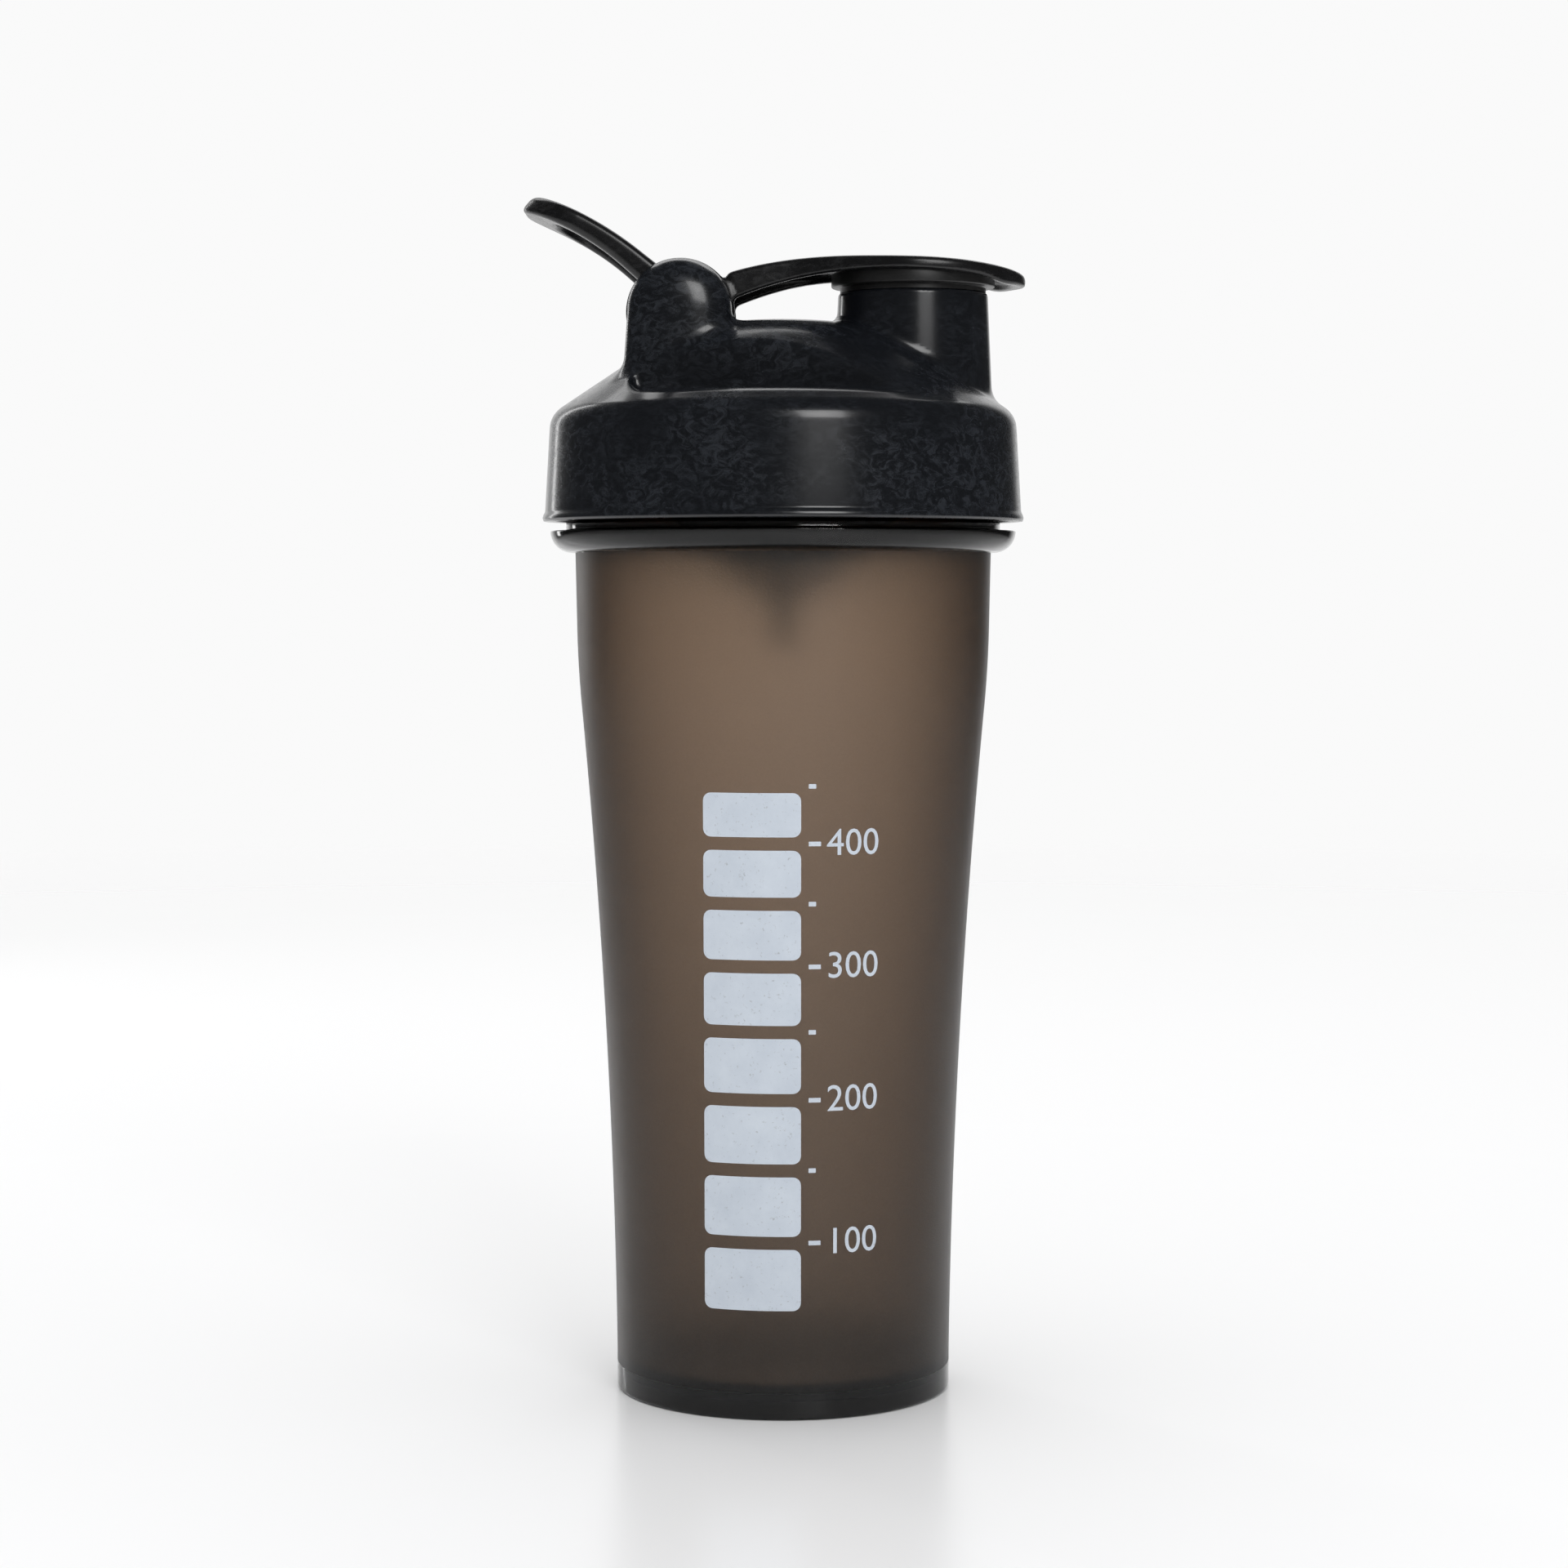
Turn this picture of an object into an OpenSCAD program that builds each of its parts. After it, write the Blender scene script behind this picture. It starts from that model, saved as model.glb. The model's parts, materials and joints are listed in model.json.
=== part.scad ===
// Protein shaker bottle: a tapered cup, a screw lid with a pouring spout, a flip cap,
// a carry loop and a hanging mixing grid.
// Millimetres, +Z up. Origin: centre of the base on the surface it stands on.
// The spout points to +X and the hinge to -X.

/* [Cup] */
// Radius of the foot of the cup
foot_r = 34.2; // [30:0.1:41]
// Height of the straight band at the foot
foot_h = 8; // [6:0.5:12]
// Radius of the rounded bottom corner
foot_round = 0.8; // [0.4:0.1:1.5]
// Height of the foot ring under the floor
foot_recess = 3.6; // [2.5:0.1:5]
// Thickness of the floor
floor_t = 2; // [1.5:0.1:3]
// Wall of the cup
cup_wall = 1.8; // [1.2:0.1:2.4]
// Height at which the taper bends into the grip band
bend_z = 140; // [110:1:168]
// Height of the bend
bend_len = 16; // [10:1:22]
// Share of the taper that is straight, the rest curves outwards
taper_straight = 0.24; // [0:0.02:0.6]
// Outward slope of the band above the bend
band_slope = 0.02; // [0:0.005:0.05]
// Height of the band above the bend, up to the flange
band_h = 15.2; // [10:0.2:24]
// Height of the flange under the lid, which is also its underside's radius
flange_h = 4.4; // [3:0.1:6]
// How far the flange stands out from the neck
flange_out = 3.2; // [2:0.1:3.8]

/* [Neck and thread] */
// Outer radius of the neck, which sets the size of the mouth and lid
neck_r = 44.2; // [37:0.1:53]
// How far the taper's upper end lies inside the neck
shoulder_in = 3.07; // [2.4:0.01:4]
// Height of the neck above the flange
neck_h = 20.8; // [18:0.1:24]
// Wall of the neck
neck_wall = 2.2; // [1.8:0.1:3]
// Rise of the thread in one turn
thread_lead = 4.2; // [3.8:0.1:5]
// Length of the thread in turns
thread_turns = 1.25; // [1:0.05:1.5]
// How far the cup's thread stands out
thread_depth = 1.6; // [1.2:0.1:2]
// Room between each thread's crest and the wall it faces
thread_gap = 0.4; // [0.3:0.05:0.6]
// Half width of a thread at its foot
thread_half = 1.25; // [1:0.05:1.3]

/* [Lid] */
// Open gap between the flange and the lid's skirt
lid_gap = 1.9; // [1:0.1:3]
// Wall of the skirt at its lower edge
skirt_wall = 2.7; // [2.4:0.1:3.4]
// Height of the skirt up to the shoulder
skirt_h = 19.9; // [18:0.1:24]
// How much the skirt narrows up to the shoulder
skirt_draft = 1.5; // [0.8:0.1:2]
// Wall of the dome, the spout and the sealing ring under it
dome_wall = 2.3; // [1.8:0.1:2.8]
// Height of the crown above the skirt's lower edge
crown_h = 40.7; // [38:0.1:44]
// Radius of the crown
crown_r = 12; // [8:0.5:16]
// Height of the floor of the side scoops above the skirt's lower edge
scoop_h = 25.1; // [24:0.1:27]
// Distance of each scoop's wall from the centre
scoop_y = 27.3; // [24:0.1:34]
// Angle of each scoop's wall, farther out towards the spout
scoop_angle = 15; // [0:1:20]

/* [Spout] */
// Outer radius of the spout at its rim
spout_r = 15.2; // [12:0.1:18]
// Outward draft of the spout down to the dome
spout_draft = 0.9; // [0:0.1:1.5]
// Height of the spout's rim above the skirt's lower edge
spout_h = 46.3; // [44:0.1:50]

/* [Hinge] */
// Distance of the hinge axis from the neck's outer wall
hinge_in = 23.6; // [20:0.1:26]
// Height of the hinge axis above the skirt's lower edge
hinge_h = 41.7; // [40:0.1:45]
// Radius of each hinge lobe
ear_r = 10.4; // [9:0.1:12]
// Thickness of each hinge lobe
ear_t = 6.7; // [5:0.1:8]
// Rounding of each lobe's outer face
ear_round = 4.5; // [2:0.1:4.8]
// Radius of the cap's trunnions
trunnion_r = 3; // [2:0.1:4]
// Running clearance of the hinge bores
hinge_gap = 0.05; // [0.02:0.01:0.1]
// Side room between the pieces on the hinge axis
side_gap = 0.3; // [0.2:0.05:0.5]

/* [Flip cap] */
// Half width of the cap's arm
arm_half = 11.4; // [9:0.1:13]
// Height of the top of the cap above the spout's rim
cap_rise = 7.1; // [6:0.1:9]
// Half width of the cap's head
head_half = 17.8; // [16:0.1:20]
// Reach of the thumb tab past the spout's centre
tab_reach = 22.8; // [20:0.1:26]
// Drop of the cap's top from its crown to either end
cap_drop = 3.6; // [2:0.1:5]
// Wall of the cap
cap_wall = 2.1; // [1.6:0.1:2.8]

/* [Plug] */
// Height of the plug's shoulder on the spout's rim
shoulder_h = 1.1; // [0.6:0.1:2]
// Height of the plug's ring
ring_h = 2.9; // [2.5:0.1:3.4]
// How far the plug's ring stands out past the spout
ring_out = 1.4; // [0.5:0.1:2]
// Depth of the plug in the spout
plug_depth = 3.4; // [2:0.1:5]
// Clearance of the plug in the spout
plug_gap = 0.35; // [0.3:0.05:0.5]

/* [Carry loop] */
// Width of each rail of the loop
rail_w = 3.3; // [2.6:0.1:4]
// Length of the loop from the hinge axis
loop_len = 38; // [32:0.5:44]
// Thickness of the loop at its tip
loop_t = 3.9; // [3:0.1:5]
// Angle at which the loop is parked, from the spout's side
loop_angle = 140; // [130:1:150]

/* [Mixing grid] */
// Height of the grid's collar
collar_h = 11; // [9:0.1:14]
// How far the collar reaches into the lid's sealing ring
collar_in = 3.5; // [2.5:0.1:5]
// Wall of the grid
grid_wall = 1.6; // [1.2:0.1:2]
// Depth of the grid's cone
cone_h = 21; // [16:0.5:26]
// Length of the stem below the cone
stem_len = 9.5; // [6:0.5:14]
// Radius of the stem
stem_r = 2.15; // [1.8:0.05:3]
// Width of the grid's slots
slot_w = 3.2; // [2.4:0.1:4]

/* [Hidden] */
$fn = 96;
eps = 0.01;

// Cup
shoulder_z = bend_z + bend_len;
bend_r = neck_r - shoulder_in;
bend_slope = (bend_r - foot_r) * (2 - taper_straight) / (bend_z - foot_h);
shoulder_r = bend_r + (bend_slope + band_slope) / 2 * bend_len;
body_top_z = shoulder_z + band_h;
flange_z = body_top_z + flange_h;
flange_r = neck_r + flange_out;
rim_z = flange_z + neck_h;
neck_in_r = neck_r - neck_wall;
floor_z = foot_recess + floor_t;
rim_round = 0.4;

// Thread: both helices have the same lead, half a turn apart in height
thread_crest = 0.7;
thread_step = 7.5;
thread_fade = 30;
thread_root = 0.3;
thread_z = flange_z + 6.9;
skirt_in_r = neck_r + thread_depth + thread_gap;

// Lid, from the lower edge of its skirt
lid_z = flange_z + lid_gap;
lid_r = skirt_in_r + skirt_wall;
shoulder_top_r = lid_r - skirt_draft;
seal_h = 1.8;
seal_gap = 0.1;
seal_room_h = rim_z + seal_h - lid_z;
plug_ring_r = neck_in_r - 0.3;
plug_ring_in_r = plug_ring_r - 1.8;
plug_ring_h = rim_z - 6.4 - lid_z;
cone_foot_r = shoulder_top_r - 2.2;
cone_foot_h = skirt_h + 3.3;
cone_head_r = crown_r + 9;
cone_head_h = crown_h - 1.5;
// Room that the shaped inside of the dome keeps from its outside
dome_drop = dome_wall + 0.6;

// Spout
bore_r = spout_r - dome_wall;
spout_x = plug_ring_in_r - bore_r - 0.6;
spout_z = lid_z + spout_h;

// Hinge
hinge_x = hinge_in - neck_r;
hinge_z = lid_z + hinge_h;
knuckle_in = arm_half + side_gap;
knuckle_out = knuckle_in + rail_w;
ear_in = knuckle_out + side_gap;
ear_out = ear_in + ear_t;
bore_hinge_r = trunnion_r + hinge_gap;
trunnion_end = ear_out - 3;
valley_r = ear_r + 1.2;

// Flip cap
cap_z = spout_z + cap_rise;
cap_start = hinge_x + ear_r - 1.4;
cap_tip = spout_x + tab_reach;
cap_mid = (cap_start + cap_tip) / 2;
drum_r = ear_r + 0.5;
// Power of the curve along the cap's top: higher is flatter in the middle
cap_flat = 2.6;
ring_z = spout_z + shoulder_h;
ring_r = spout_r + ring_out;
plug_r = bore_r - plug_gap;
stud_r = 4;
seat_gap = 0.2;
boss_r = ring_r - 3.2;

// Carry loop, along its own axis from the hinge
knuckle_r = 7.5;
loop_bend_u = 14;
loop_bend_r = 60;
loop_lift = 1.8;

// Mixing grid
lip_z = lid_z + plug_ring_h;
lip_t = 1.6;
lip_r = plug_ring_r - 0.3;
collar_r = plug_ring_in_r - 0.1;
collar_z = lip_z + collar_in - collar_h;
tip_z = collar_z - cone_h;

// Outer radius of the cup's body at a height
function body_r(z) =
    let(u = (z - foot_h) / (bend_z - foot_h), s = z - bend_z)
    z <= foot_h ? foot_r
    : z <= bend_z ? foot_r + (bend_r - foot_r) * (taper_straight * u + (1 - taper_straight) * u * u)
    : z <= shoulder_z ? bend_r + bend_slope * s - (bend_slope - band_slope) * s * s / (2 * bend_len)
    : shoulder_r + band_slope * (z - shoulder_z);

// Heights at which the body's outline is set out, from the foot up
function body_heights() = concat(
    [for (i = [0:14]) foot_h + (bend_z - foot_h) * i / 14],
    [for (i = [1:5]) bend_z + bend_len * i / 5],
    [body_top_z]);

function reversed(list) = [for (i = [len(list) - 1:-1:0]) list[i]];

// Points on an arc about a centre
function arc(centre, r, a0, a1, n) =
    [for (i = [0:n]) let(a = a0 + (a1 - a0) * i / n) centre + r * [cos(a), sin(a)]];

// Top of the flip cap at a place along X
function cap_top(x) = cap_z - cap_drop * pow(abs(x - cap_mid) / (cap_tip - cap_mid), cap_flat);

// Depth of the flip cap's side wall at a place along X
function cap_depth(x) =
    let(u = max(0, (spout_x - 2 - x) / (spout_x - cap_start))) 2.6 + 3.6 * u * u;

// Half width of the flip cap at a place along X
function cap_half(x) =
    let(u = min(1, max(0, (x - cap_start - 12) / (spout_x - cap_start - 14))))
    x < spout_x ? arm_half + (head_half - arm_half) * u * u * (3 - 2 * u)
    : head_half * sqrt(max(0, 1 - pow((x - spout_x) / tab_reach, 2)));

// Height of the carry loop's middle line at a distance along its axis
function loop_v(u) = loop_lift - pow(max(0, u - loop_bend_u), 2) / (2 * loop_bend_r);

// Half thickness of the carry loop at a distance along its axis
function loop_half(u) = loop_t / 2 + 0.9 * pow(max(0, 1 - u / loop_len), 2);

// One helical rib: root and crest radii, height of its start
module helix(root_r, crest_r, z) {
    steps = round(thread_turns * 360 / thread_step);
    rings = [for (i = [0:steps])
        let(a = i * thread_step,
            fade = min(1, min(a, steps * thread_step - a) / thread_fade + 0.02),
            zc = z + thread_lead * a / 360,
            rc = root_r + (crest_r - root_r) * fade)
        [for (p = [[root_r, -thread_half], [rc, -thread_crest], [rc, thread_crest], [root_r, thread_half]])
            [p[0] * cos(a), p[0] * sin(a), zc + p[1]]]];
    // Rings run so that the faces of an outward rib point out
    way = crest_r > root_r ? 1 : -1;
    function side(i, j) =
        let(a = 4 * i + j, b = 4 * i + (j + 1) % 4, c = b + 4, d = a + 4)
        way > 0 ? [[a, b, c], [a, c, d]] : [[a, c, b], [a, d, c]];
    first = way > 0 ? [3, 2, 1, 0] : [0, 1, 2, 3];
    polyhedron(
        points = [for (r = rings) each r],
        faces = concat(
            [for (i = [0:steps - 1]) for (j = [0:3]) each side(i, j)],
            [first],
            [[for (k = first) 4 * steps + 3 - k]]));
}

module cup() {
    outer = concat(
        [[foot_r - cup_wall, 0]],
        arc([foot_r - foot_round, foot_round], foot_round, -90, 0, 6),
        [for (z = body_heights()) [body_r(z), z]],
        arc([flange_r - flange_h, flange_z], flange_h, -80, 0, 8),
        [[neck_r, flange_z]],
        arc([neck_r - rim_round, rim_z - rim_round], rim_round, 0, 90, 3));
    inner = concat(
        [[neck_in_r, rim_z], [neck_in_r, flange_z + 2.4],
         [body_r(body_top_z) - cup_wall, flange_z - 2.6]],
        reversed([for (z = body_heights()) if (z > floor_z + 2) [body_r(z) - cup_wall, z]]),
        [[foot_r - cup_wall, floor_z + 2], [foot_r - cup_wall - 2, floor_z], [0, floor_z],
         [0, foot_recess], [foot_r - cup_wall, foot_recess]]);
    color("dimgray") {
        rotate_extrude() polygon(concat(outer, inner));
        helix(neck_r - thread_root, neck_r + thread_depth, thread_z);
    }
}

// Outside of the lid without its scoops, ears and spout
module lid_body() {
    rotate_extrude() polygon(concat(
        [[0, 0], [lid_r - 0.5, 0], [lid_r, 0.5], [lid_r - 0.1, 1.4], [lid_r - 0.45, 2],
         [lid_r - 0.8, 12], [shoulder_top_r, skirt_h]],
        [[shoulder_top_r - 0.7, skirt_h + 1.8], [cone_foot_r, cone_foot_h],
         [cone_head_r, cone_head_h - 2], [cone_head_r - 3.5, cone_head_h],
         [crown_r, crown_h - 0.4], [crown_r - 5, crown_h], [0, crown_h]]));
}

// Material that one side scoop takes away, grown by a margin
module scoop(side, margin = 0) {
    size = 60;
    left = hinge_x - ear_r;
    intersection() {
        rotate([0, 0, side * scoop_angle])
            translate([-size, side > 0 ? scoop_y - margin : -scoop_y + margin - size, scoop_h - margin])
                cube([2 * size, size, size]);
        translate([left - margin, -size, 0]) cube([2 * size, 2 * size, size]);
    }
}

// The hinge lobe on the +Y side: a rounded bullet standing on the dome
module ear() {
    profile = concat([[0, 0], [ear_r, 0]],
        arc([ear_r - ear_round, ear_t - ear_round], ear_round, 0, 90, 8), [[0, ear_t]]);
    foot = hinge_h - scoop_h + 4;
    difference() {
        translate([hinge_x, ear_in, hinge_h]) {
            rotate([-90, 0, 0]) rotate_extrude() polygon(profile);
            translate([0, 0, -foot]) linear_extrude(foot)
                polygon(concat(profile, reversed([for (p = profile) [-p[0], p[1]]])));
        }
        translate([0, 0, -1.5]) lid_body();
    }
}

// Space inside the dome, keeping its wall behind the valley and the scoops
module lid_cavity() {
    difference() {
        rotate_extrude() polygon([
            [0, plug_ring_h - 1], [plug_ring_in_r, plug_ring_h - 1],
            [plug_ring_in_r, cone_foot_h - dome_drop + (cone_foot_r - plug_ring_in_r) * 0.65],
            [cone_head_r - 1, cone_head_h - 2 - dome_drop],
            [crown_r - 2, crown_h - dome_drop], [0, crown_h - dome_drop]]);
        valley(dome_wall);
        for (side = [-1, 1]) scoop(side, dome_wall);
    }
}

// Room between the ears for the hinge drum, grown by a margin
module valley(margin = 0) {
    translate([hinge_x, 0, hinge_h]) rotate([90, 0, 0])
        cylinder(h = 2 * (ear_in + margin), r = valley_r + margin, center = true);
}

module lid() {
    color("black") translate([0, 0, lid_z]) {
        difference() {
            union() {
                difference() {
                    lid_body();
                    for (side = [-1, 1]) scoop(side);
                }
                ear();
                mirror([0, 1, 0]) ear();
                translate([spout_x, 0, cone_foot_h - 2])
                    cylinder(h = spout_h - cone_foot_h + 2, r1 = spout_r + spout_draft, r2 = spout_r);
            }
            lid_cavity();
            // Groove over the cup's neck, with the seal's seat at its top
            rotate_extrude() polygon([
                [plug_ring_r, -1], [skirt_in_r, -1], [skirt_in_r, seal_room_h - 2.7],
                [skirt_in_r - 1.3, seal_room_h - 0.3], [skirt_in_r - 1.6, seal_room_h],
                [plug_ring_r, seal_room_h]]);
            translate([0, 0, -1]) cylinder(h = plug_ring_h + 1, r = plug_ring_r + eps);
            translate([spout_x, 0, plug_ring_h]) cylinder(h = spout_h, r = bore_r);
            valley();
            translate([hinge_x, 0, hinge_h]) rotate([90, 0, 0])
                cylinder(h = 2 * (trunnion_end + side_gap), r = bore_hinge_r, center = true);
        }
        helix(skirt_in_r + thread_root, neck_r + thread_gap, thread_z - thread_lead / 2 - lid_z);
    }
}

module lid_seal() {
    color("gray") translate([0, 0, rim_z]) rotate_extrude()
        translate([plug_ring_r + seal_gap, 0])
            square([skirt_in_r - 1.6 - plug_ring_r - 2 * seal_gap, seal_h]);
}

module mixing_grid() {
    // Rows of slots: how many, inner radius, outer radius
    rings = [[8, 6.5, 13.5], [14, 16.5, 24], [22, 27, collar_r - grid_wall - 2]];
    slope = cone_h / (collar_r - stem_r);
    color("dimgray") {
        difference() {
            rotate_extrude() polygon([
                [collar_r, collar_z], [collar_r, lip_z - lip_t], [lip_r, lip_z - lip_t],
                [lip_r, lip_z], [collar_r, lip_z], [collar_r, collar_z + collar_h],
                [collar_r - grid_wall, collar_z + collar_h], [collar_r - grid_wall, collar_z + 1],
                [stem_r, tip_z + 1.2 * grid_wall], [0, tip_z + 1.2 * grid_wall], [0, tip_z - 1],
                [stem_r, tip_z - 1], [stem_r, tip_z - 0.2 * grid_wall]]);
            for (ring = rings) for (i = [0:ring[0] - 1])
                rotate([0, 0, 360 * (i + 0.5) / ring[0]])
                    translate([ring[1], -slot_w / 2, tip_z])
                        cube([ring[2] - ring[1], slot_w, cone_h + 3]);
        }
        translate([0, 0, tip_z - stem_len + stem_r]) cylinder(h = stem_len, r = stem_r);
        translate([0, 0, tip_z - stem_len + stem_r]) sphere(r = stem_r, $fn = 48);
    }
}

// Turns a side outline in X and Z into a slab of a given half width
module slab(half) {
    rotate([90, 0, 0]) linear_extrude(2 * half, center = true) children();
}

// Flip cap outline seen from above, inset by a margin
module cap_plan(margin = 0) {
    n = 32;
    far = cap_tip - margin;
    start = cap_start + margin / 2;
    edge = [for (i = [0:n])
        let(x = start + (far - start) * sin(90 * i / n),
            u = start + (far - start) * i / n)
        [x, i == n ? 0 : max(0, cap_half(min(x, cap_tip)) - margin)]];
    polygon(concat(edge, reversed([for (p = edge) if (p[1] > 0) [p[0], -p[1]]])));
}

// Solid band under the flip cap's top, from one depth to another
module cap_band(from, deep) {
    n = 24;
    xs = [for (i = [0:n]) cap_start - 1 + (cap_tip + 1 - cap_start + 1) * i / n];
    slab(head_half + 1) polygon(concat(
        [for (x = xs) [x, cap_top(x) - from]],
        reversed([for (x = xs) [x, cap_top(x) - (deep > 0 ? deep : cap_depth(x))]])));
}

module flip_cap() {
    color("black") {
        difference() {
            union() {
                intersection() {
                    translate([0, 0, hinge_z - 20]) linear_extrude(60) cap_plan();
                    cap_band(0, 0);
                }
                translate([hinge_x, 0, hinge_z]) rotate([90, 0, 0])
                    cylinder(h = 2 * (knuckle_in - side_gap), r = drum_r, center = true);
            }
            // Channel under the arm and head
            intersection() {
                translate([0, 0, hinge_z - 20]) linear_extrude(60)
                    difference() {
                        cap_plan(cap_wall);
                        translate([hinge_x, 0]) square([2 * drum_r, 60], center = true);
                    }
                cap_band(cap_wall, 20);
            }
            // Seat of the plug's ring, open below
            translate([spout_x, 0, spout_z]) cylinder(h = shoulder_h + ring_h, r = ring_r + seat_gap);
            // Hollow of the drum, open below
            translate([hinge_x, 0, hinge_z]) rotate([90, 0, 0])
                cylinder(h = 2 * (arm_half - cap_wall), r = drum_r - cap_wall, center = true);
            translate([hinge_x - drum_r * 0.6, cap_wall - arm_half, hinge_z - 2 * drum_r])
                cube([drum_r * 1.2, 2 * (arm_half - cap_wall), 2 * drum_r]);
        }
        // Boss over the plug and the stud that holds it
        translate([spout_x, 0, ring_z + ring_h])
            cylinder(h = cap_top(spout_x) - ring_z - ring_h - cap_wall / 2, r = boss_r);
        translate([spout_x, 0, ring_z - 1])
            cylinder(h = ring_h + 2, r = stud_r);
        // Trunnions
        for (side = [-1, 1])
            translate([hinge_x, side * (arm_half - cap_wall), hinge_z]) rotate([-90 * side, 0, 0])
                cylinder(h = trunnion_end - arm_half + cap_wall, r = trunnion_r);
    }
}

module spout_plug() {
    lip = 1.6;
    color("black") translate([spout_x, 0, 0]) rotate_extrude() polygon([
        [stud_r + hinge_gap, ring_z], [stud_r + hinge_gap, ring_z + ring_h],
        [ring_r - 0.3, ring_z + ring_h], [ring_r, ring_z + ring_h - 0.3],
        [ring_r, ring_z], [spout_r - 0.4, ring_z], [spout_r - 0.4, spout_z], [plug_r, spout_z],
        [plug_r, spout_z - plug_depth / 2], [plug_r - 0.5, spout_z - plug_depth],
        [plug_r - lip, spout_z - plug_depth], [plug_r - lip, ring_z]]);
}

// Carry loop seen along the hinge axis, with u away from the axis
module loop_side() {
    n = 20;
    end = loop_len - loop_t / 2;
    us = [for (i = [0:n]) end * i / n];
    drop = atan((end - loop_bend_u) / loop_bend_r);
    polygon(concat(
        [for (u = us) [u, loop_v(u) + loop_half(u)]],
        arc([end, loop_v(end)], loop_half(end), 75 - drop, -75, 6),
        reversed([for (u = us) [u, loop_v(u) - loop_half(u)]])));
}

// U-shaped outline seen along v: half width and rounding of its closed end at a length
module loop_plan(half, len, round_r) {
    polygon(concat(
        [[-20, -half]],
        arc([len - round_r, round_r - half], round_r, -90, 0, 8),
        arc([len - round_r, half - round_r], round_r, 0, 90, 8),
        [[-20, half]]));
}

module carry_loop() {
    tall = 40;
    color("black") translate([hinge_x, 0, hinge_z]) rotate([0, 180 - loop_angle, 0]) mirror([1, 0, 0])
    difference() {
        union() {
            intersection() {
                slab(knuckle_out + 1) loop_side();
                translate([0, 0, -tall / 2]) linear_extrude(tall) difference() {
                    loop_plan(knuckle_out, loop_len + 1, 11);
                    // Finger hole, open towards the hinge for the cap's drum
                    loop_plan(knuckle_in, loop_len - 6.5, 8);
                }
            }
            for (side = [-1, 1]) translate([0, side * (knuckle_in + rail_w / 2), 0]) rotate([90, 0, 0])
                cylinder(h = rail_w, r = knuckle_r, center = true);
        }
        rotate([90, 0, 0]) cylinder(h = 60, r = bore_hinge_r, center = true);
    }
}

cup();
lid();
lid_seal();
mixing_grid();
flip_cap();
spout_plug();
carry_loop();
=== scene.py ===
import json
import math

import bmesh
import bpy
import numpy as np
from mathutils import Matrix, Vector


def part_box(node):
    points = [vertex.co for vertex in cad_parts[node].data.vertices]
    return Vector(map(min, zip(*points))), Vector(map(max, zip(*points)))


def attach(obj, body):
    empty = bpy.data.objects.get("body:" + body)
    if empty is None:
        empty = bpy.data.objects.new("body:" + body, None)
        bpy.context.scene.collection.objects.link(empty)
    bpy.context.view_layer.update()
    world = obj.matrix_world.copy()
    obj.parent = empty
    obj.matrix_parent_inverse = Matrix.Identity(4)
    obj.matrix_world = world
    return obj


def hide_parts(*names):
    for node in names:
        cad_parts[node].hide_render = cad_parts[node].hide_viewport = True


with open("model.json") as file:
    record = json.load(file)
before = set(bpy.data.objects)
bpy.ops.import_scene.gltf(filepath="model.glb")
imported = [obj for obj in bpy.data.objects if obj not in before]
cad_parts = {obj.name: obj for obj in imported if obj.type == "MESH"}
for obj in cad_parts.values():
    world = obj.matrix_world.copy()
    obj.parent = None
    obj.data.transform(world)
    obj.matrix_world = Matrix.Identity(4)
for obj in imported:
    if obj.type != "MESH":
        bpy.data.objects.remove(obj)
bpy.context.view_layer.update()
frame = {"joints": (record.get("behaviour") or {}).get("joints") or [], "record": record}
mm = 0.001

# places that several pieces share, in millimetres, read from the frame
mounts = {m["name"]: Vector(m["pos_m"]) / mm for m in frame["record"]["mounts"]}
joints = {j["name"]: j for j in frame["joints"]}
hinge = Vector(joints["cap_flip"]["pos_m"]) / mm
spout = mounts["spout_mouth"]


def spanOf(node):
    low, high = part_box(node)
    return low / mm, high / mm


_, cupHigh = spanOf("cup")
lidLow, lidHigh = spanOf("lid")
capLow, capHigh = spanOf("flip_cap")
loopLow, loopHigh = spanOf("carry_loop")
plugLow, plugHigh = spanOf("spout_plug")
sealLow, sealHigh = spanOf("lid_seal")
gridLow, gridHigh = spanOf("mixing_grid")


class Wire:  # one value in a node tree, with the usual operators

    def __init__(self, tree, socket):
        self.tree = tree
        self.socket = socket

    def math(self, operation, *others):
        values = {i: v for i, v in enumerate((self,) + others)}
        return self.tree.add("ShaderNodeMath", {"operation": operation}, values)

    def __add__(self, other):
        return self.math("ADD", other)

    __radd__ = __add__

    def __mul__(self, other):
        return self.math("MULTIPLY", other)

    __rmul__ = __mul__

    def __sub__(self, other):
        return self.math("SUBTRACT", other)

    def __rsub__(self, other):
        return self * -1 + other

    def __truediv__(self, other):
        return self.math("DIVIDE", other)

    def __pow__(self, power):
        return self.math("POWER", power)

    def clamp(self):
        return self.math("MINIMUM", 1).math("MAXIMUM", 0)


class Tree:  # builds any kind of node tree

    def __init__(self, nodeTree):
        self.nodeTree = nodeTree

    def add(self, kind, settings=None, sockets=None, out=0):
        node = self.nodeTree.nodes.new(kind)
        for key, value in (settings or {}).items():
            if key == "stops":
                for stop, (place, colour) in zip(node.color_ramp.elements, value):
                    stop.position, stop.color = place, colour
            else:
                setattr(node, key, value)
        for key, value in (sockets or {}).items():
            if isinstance(value, Wire):
                self.nodeTree.links.new(value.socket, node.inputs[key])
            else:
                node.inputs[key].default_value = value
        return Wire(self, node.outputs[out]) if node.outputs else node

    def output(self, wire, index):
        node = wire.socket.node
        return Wire(self, node.outputs[index])


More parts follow.
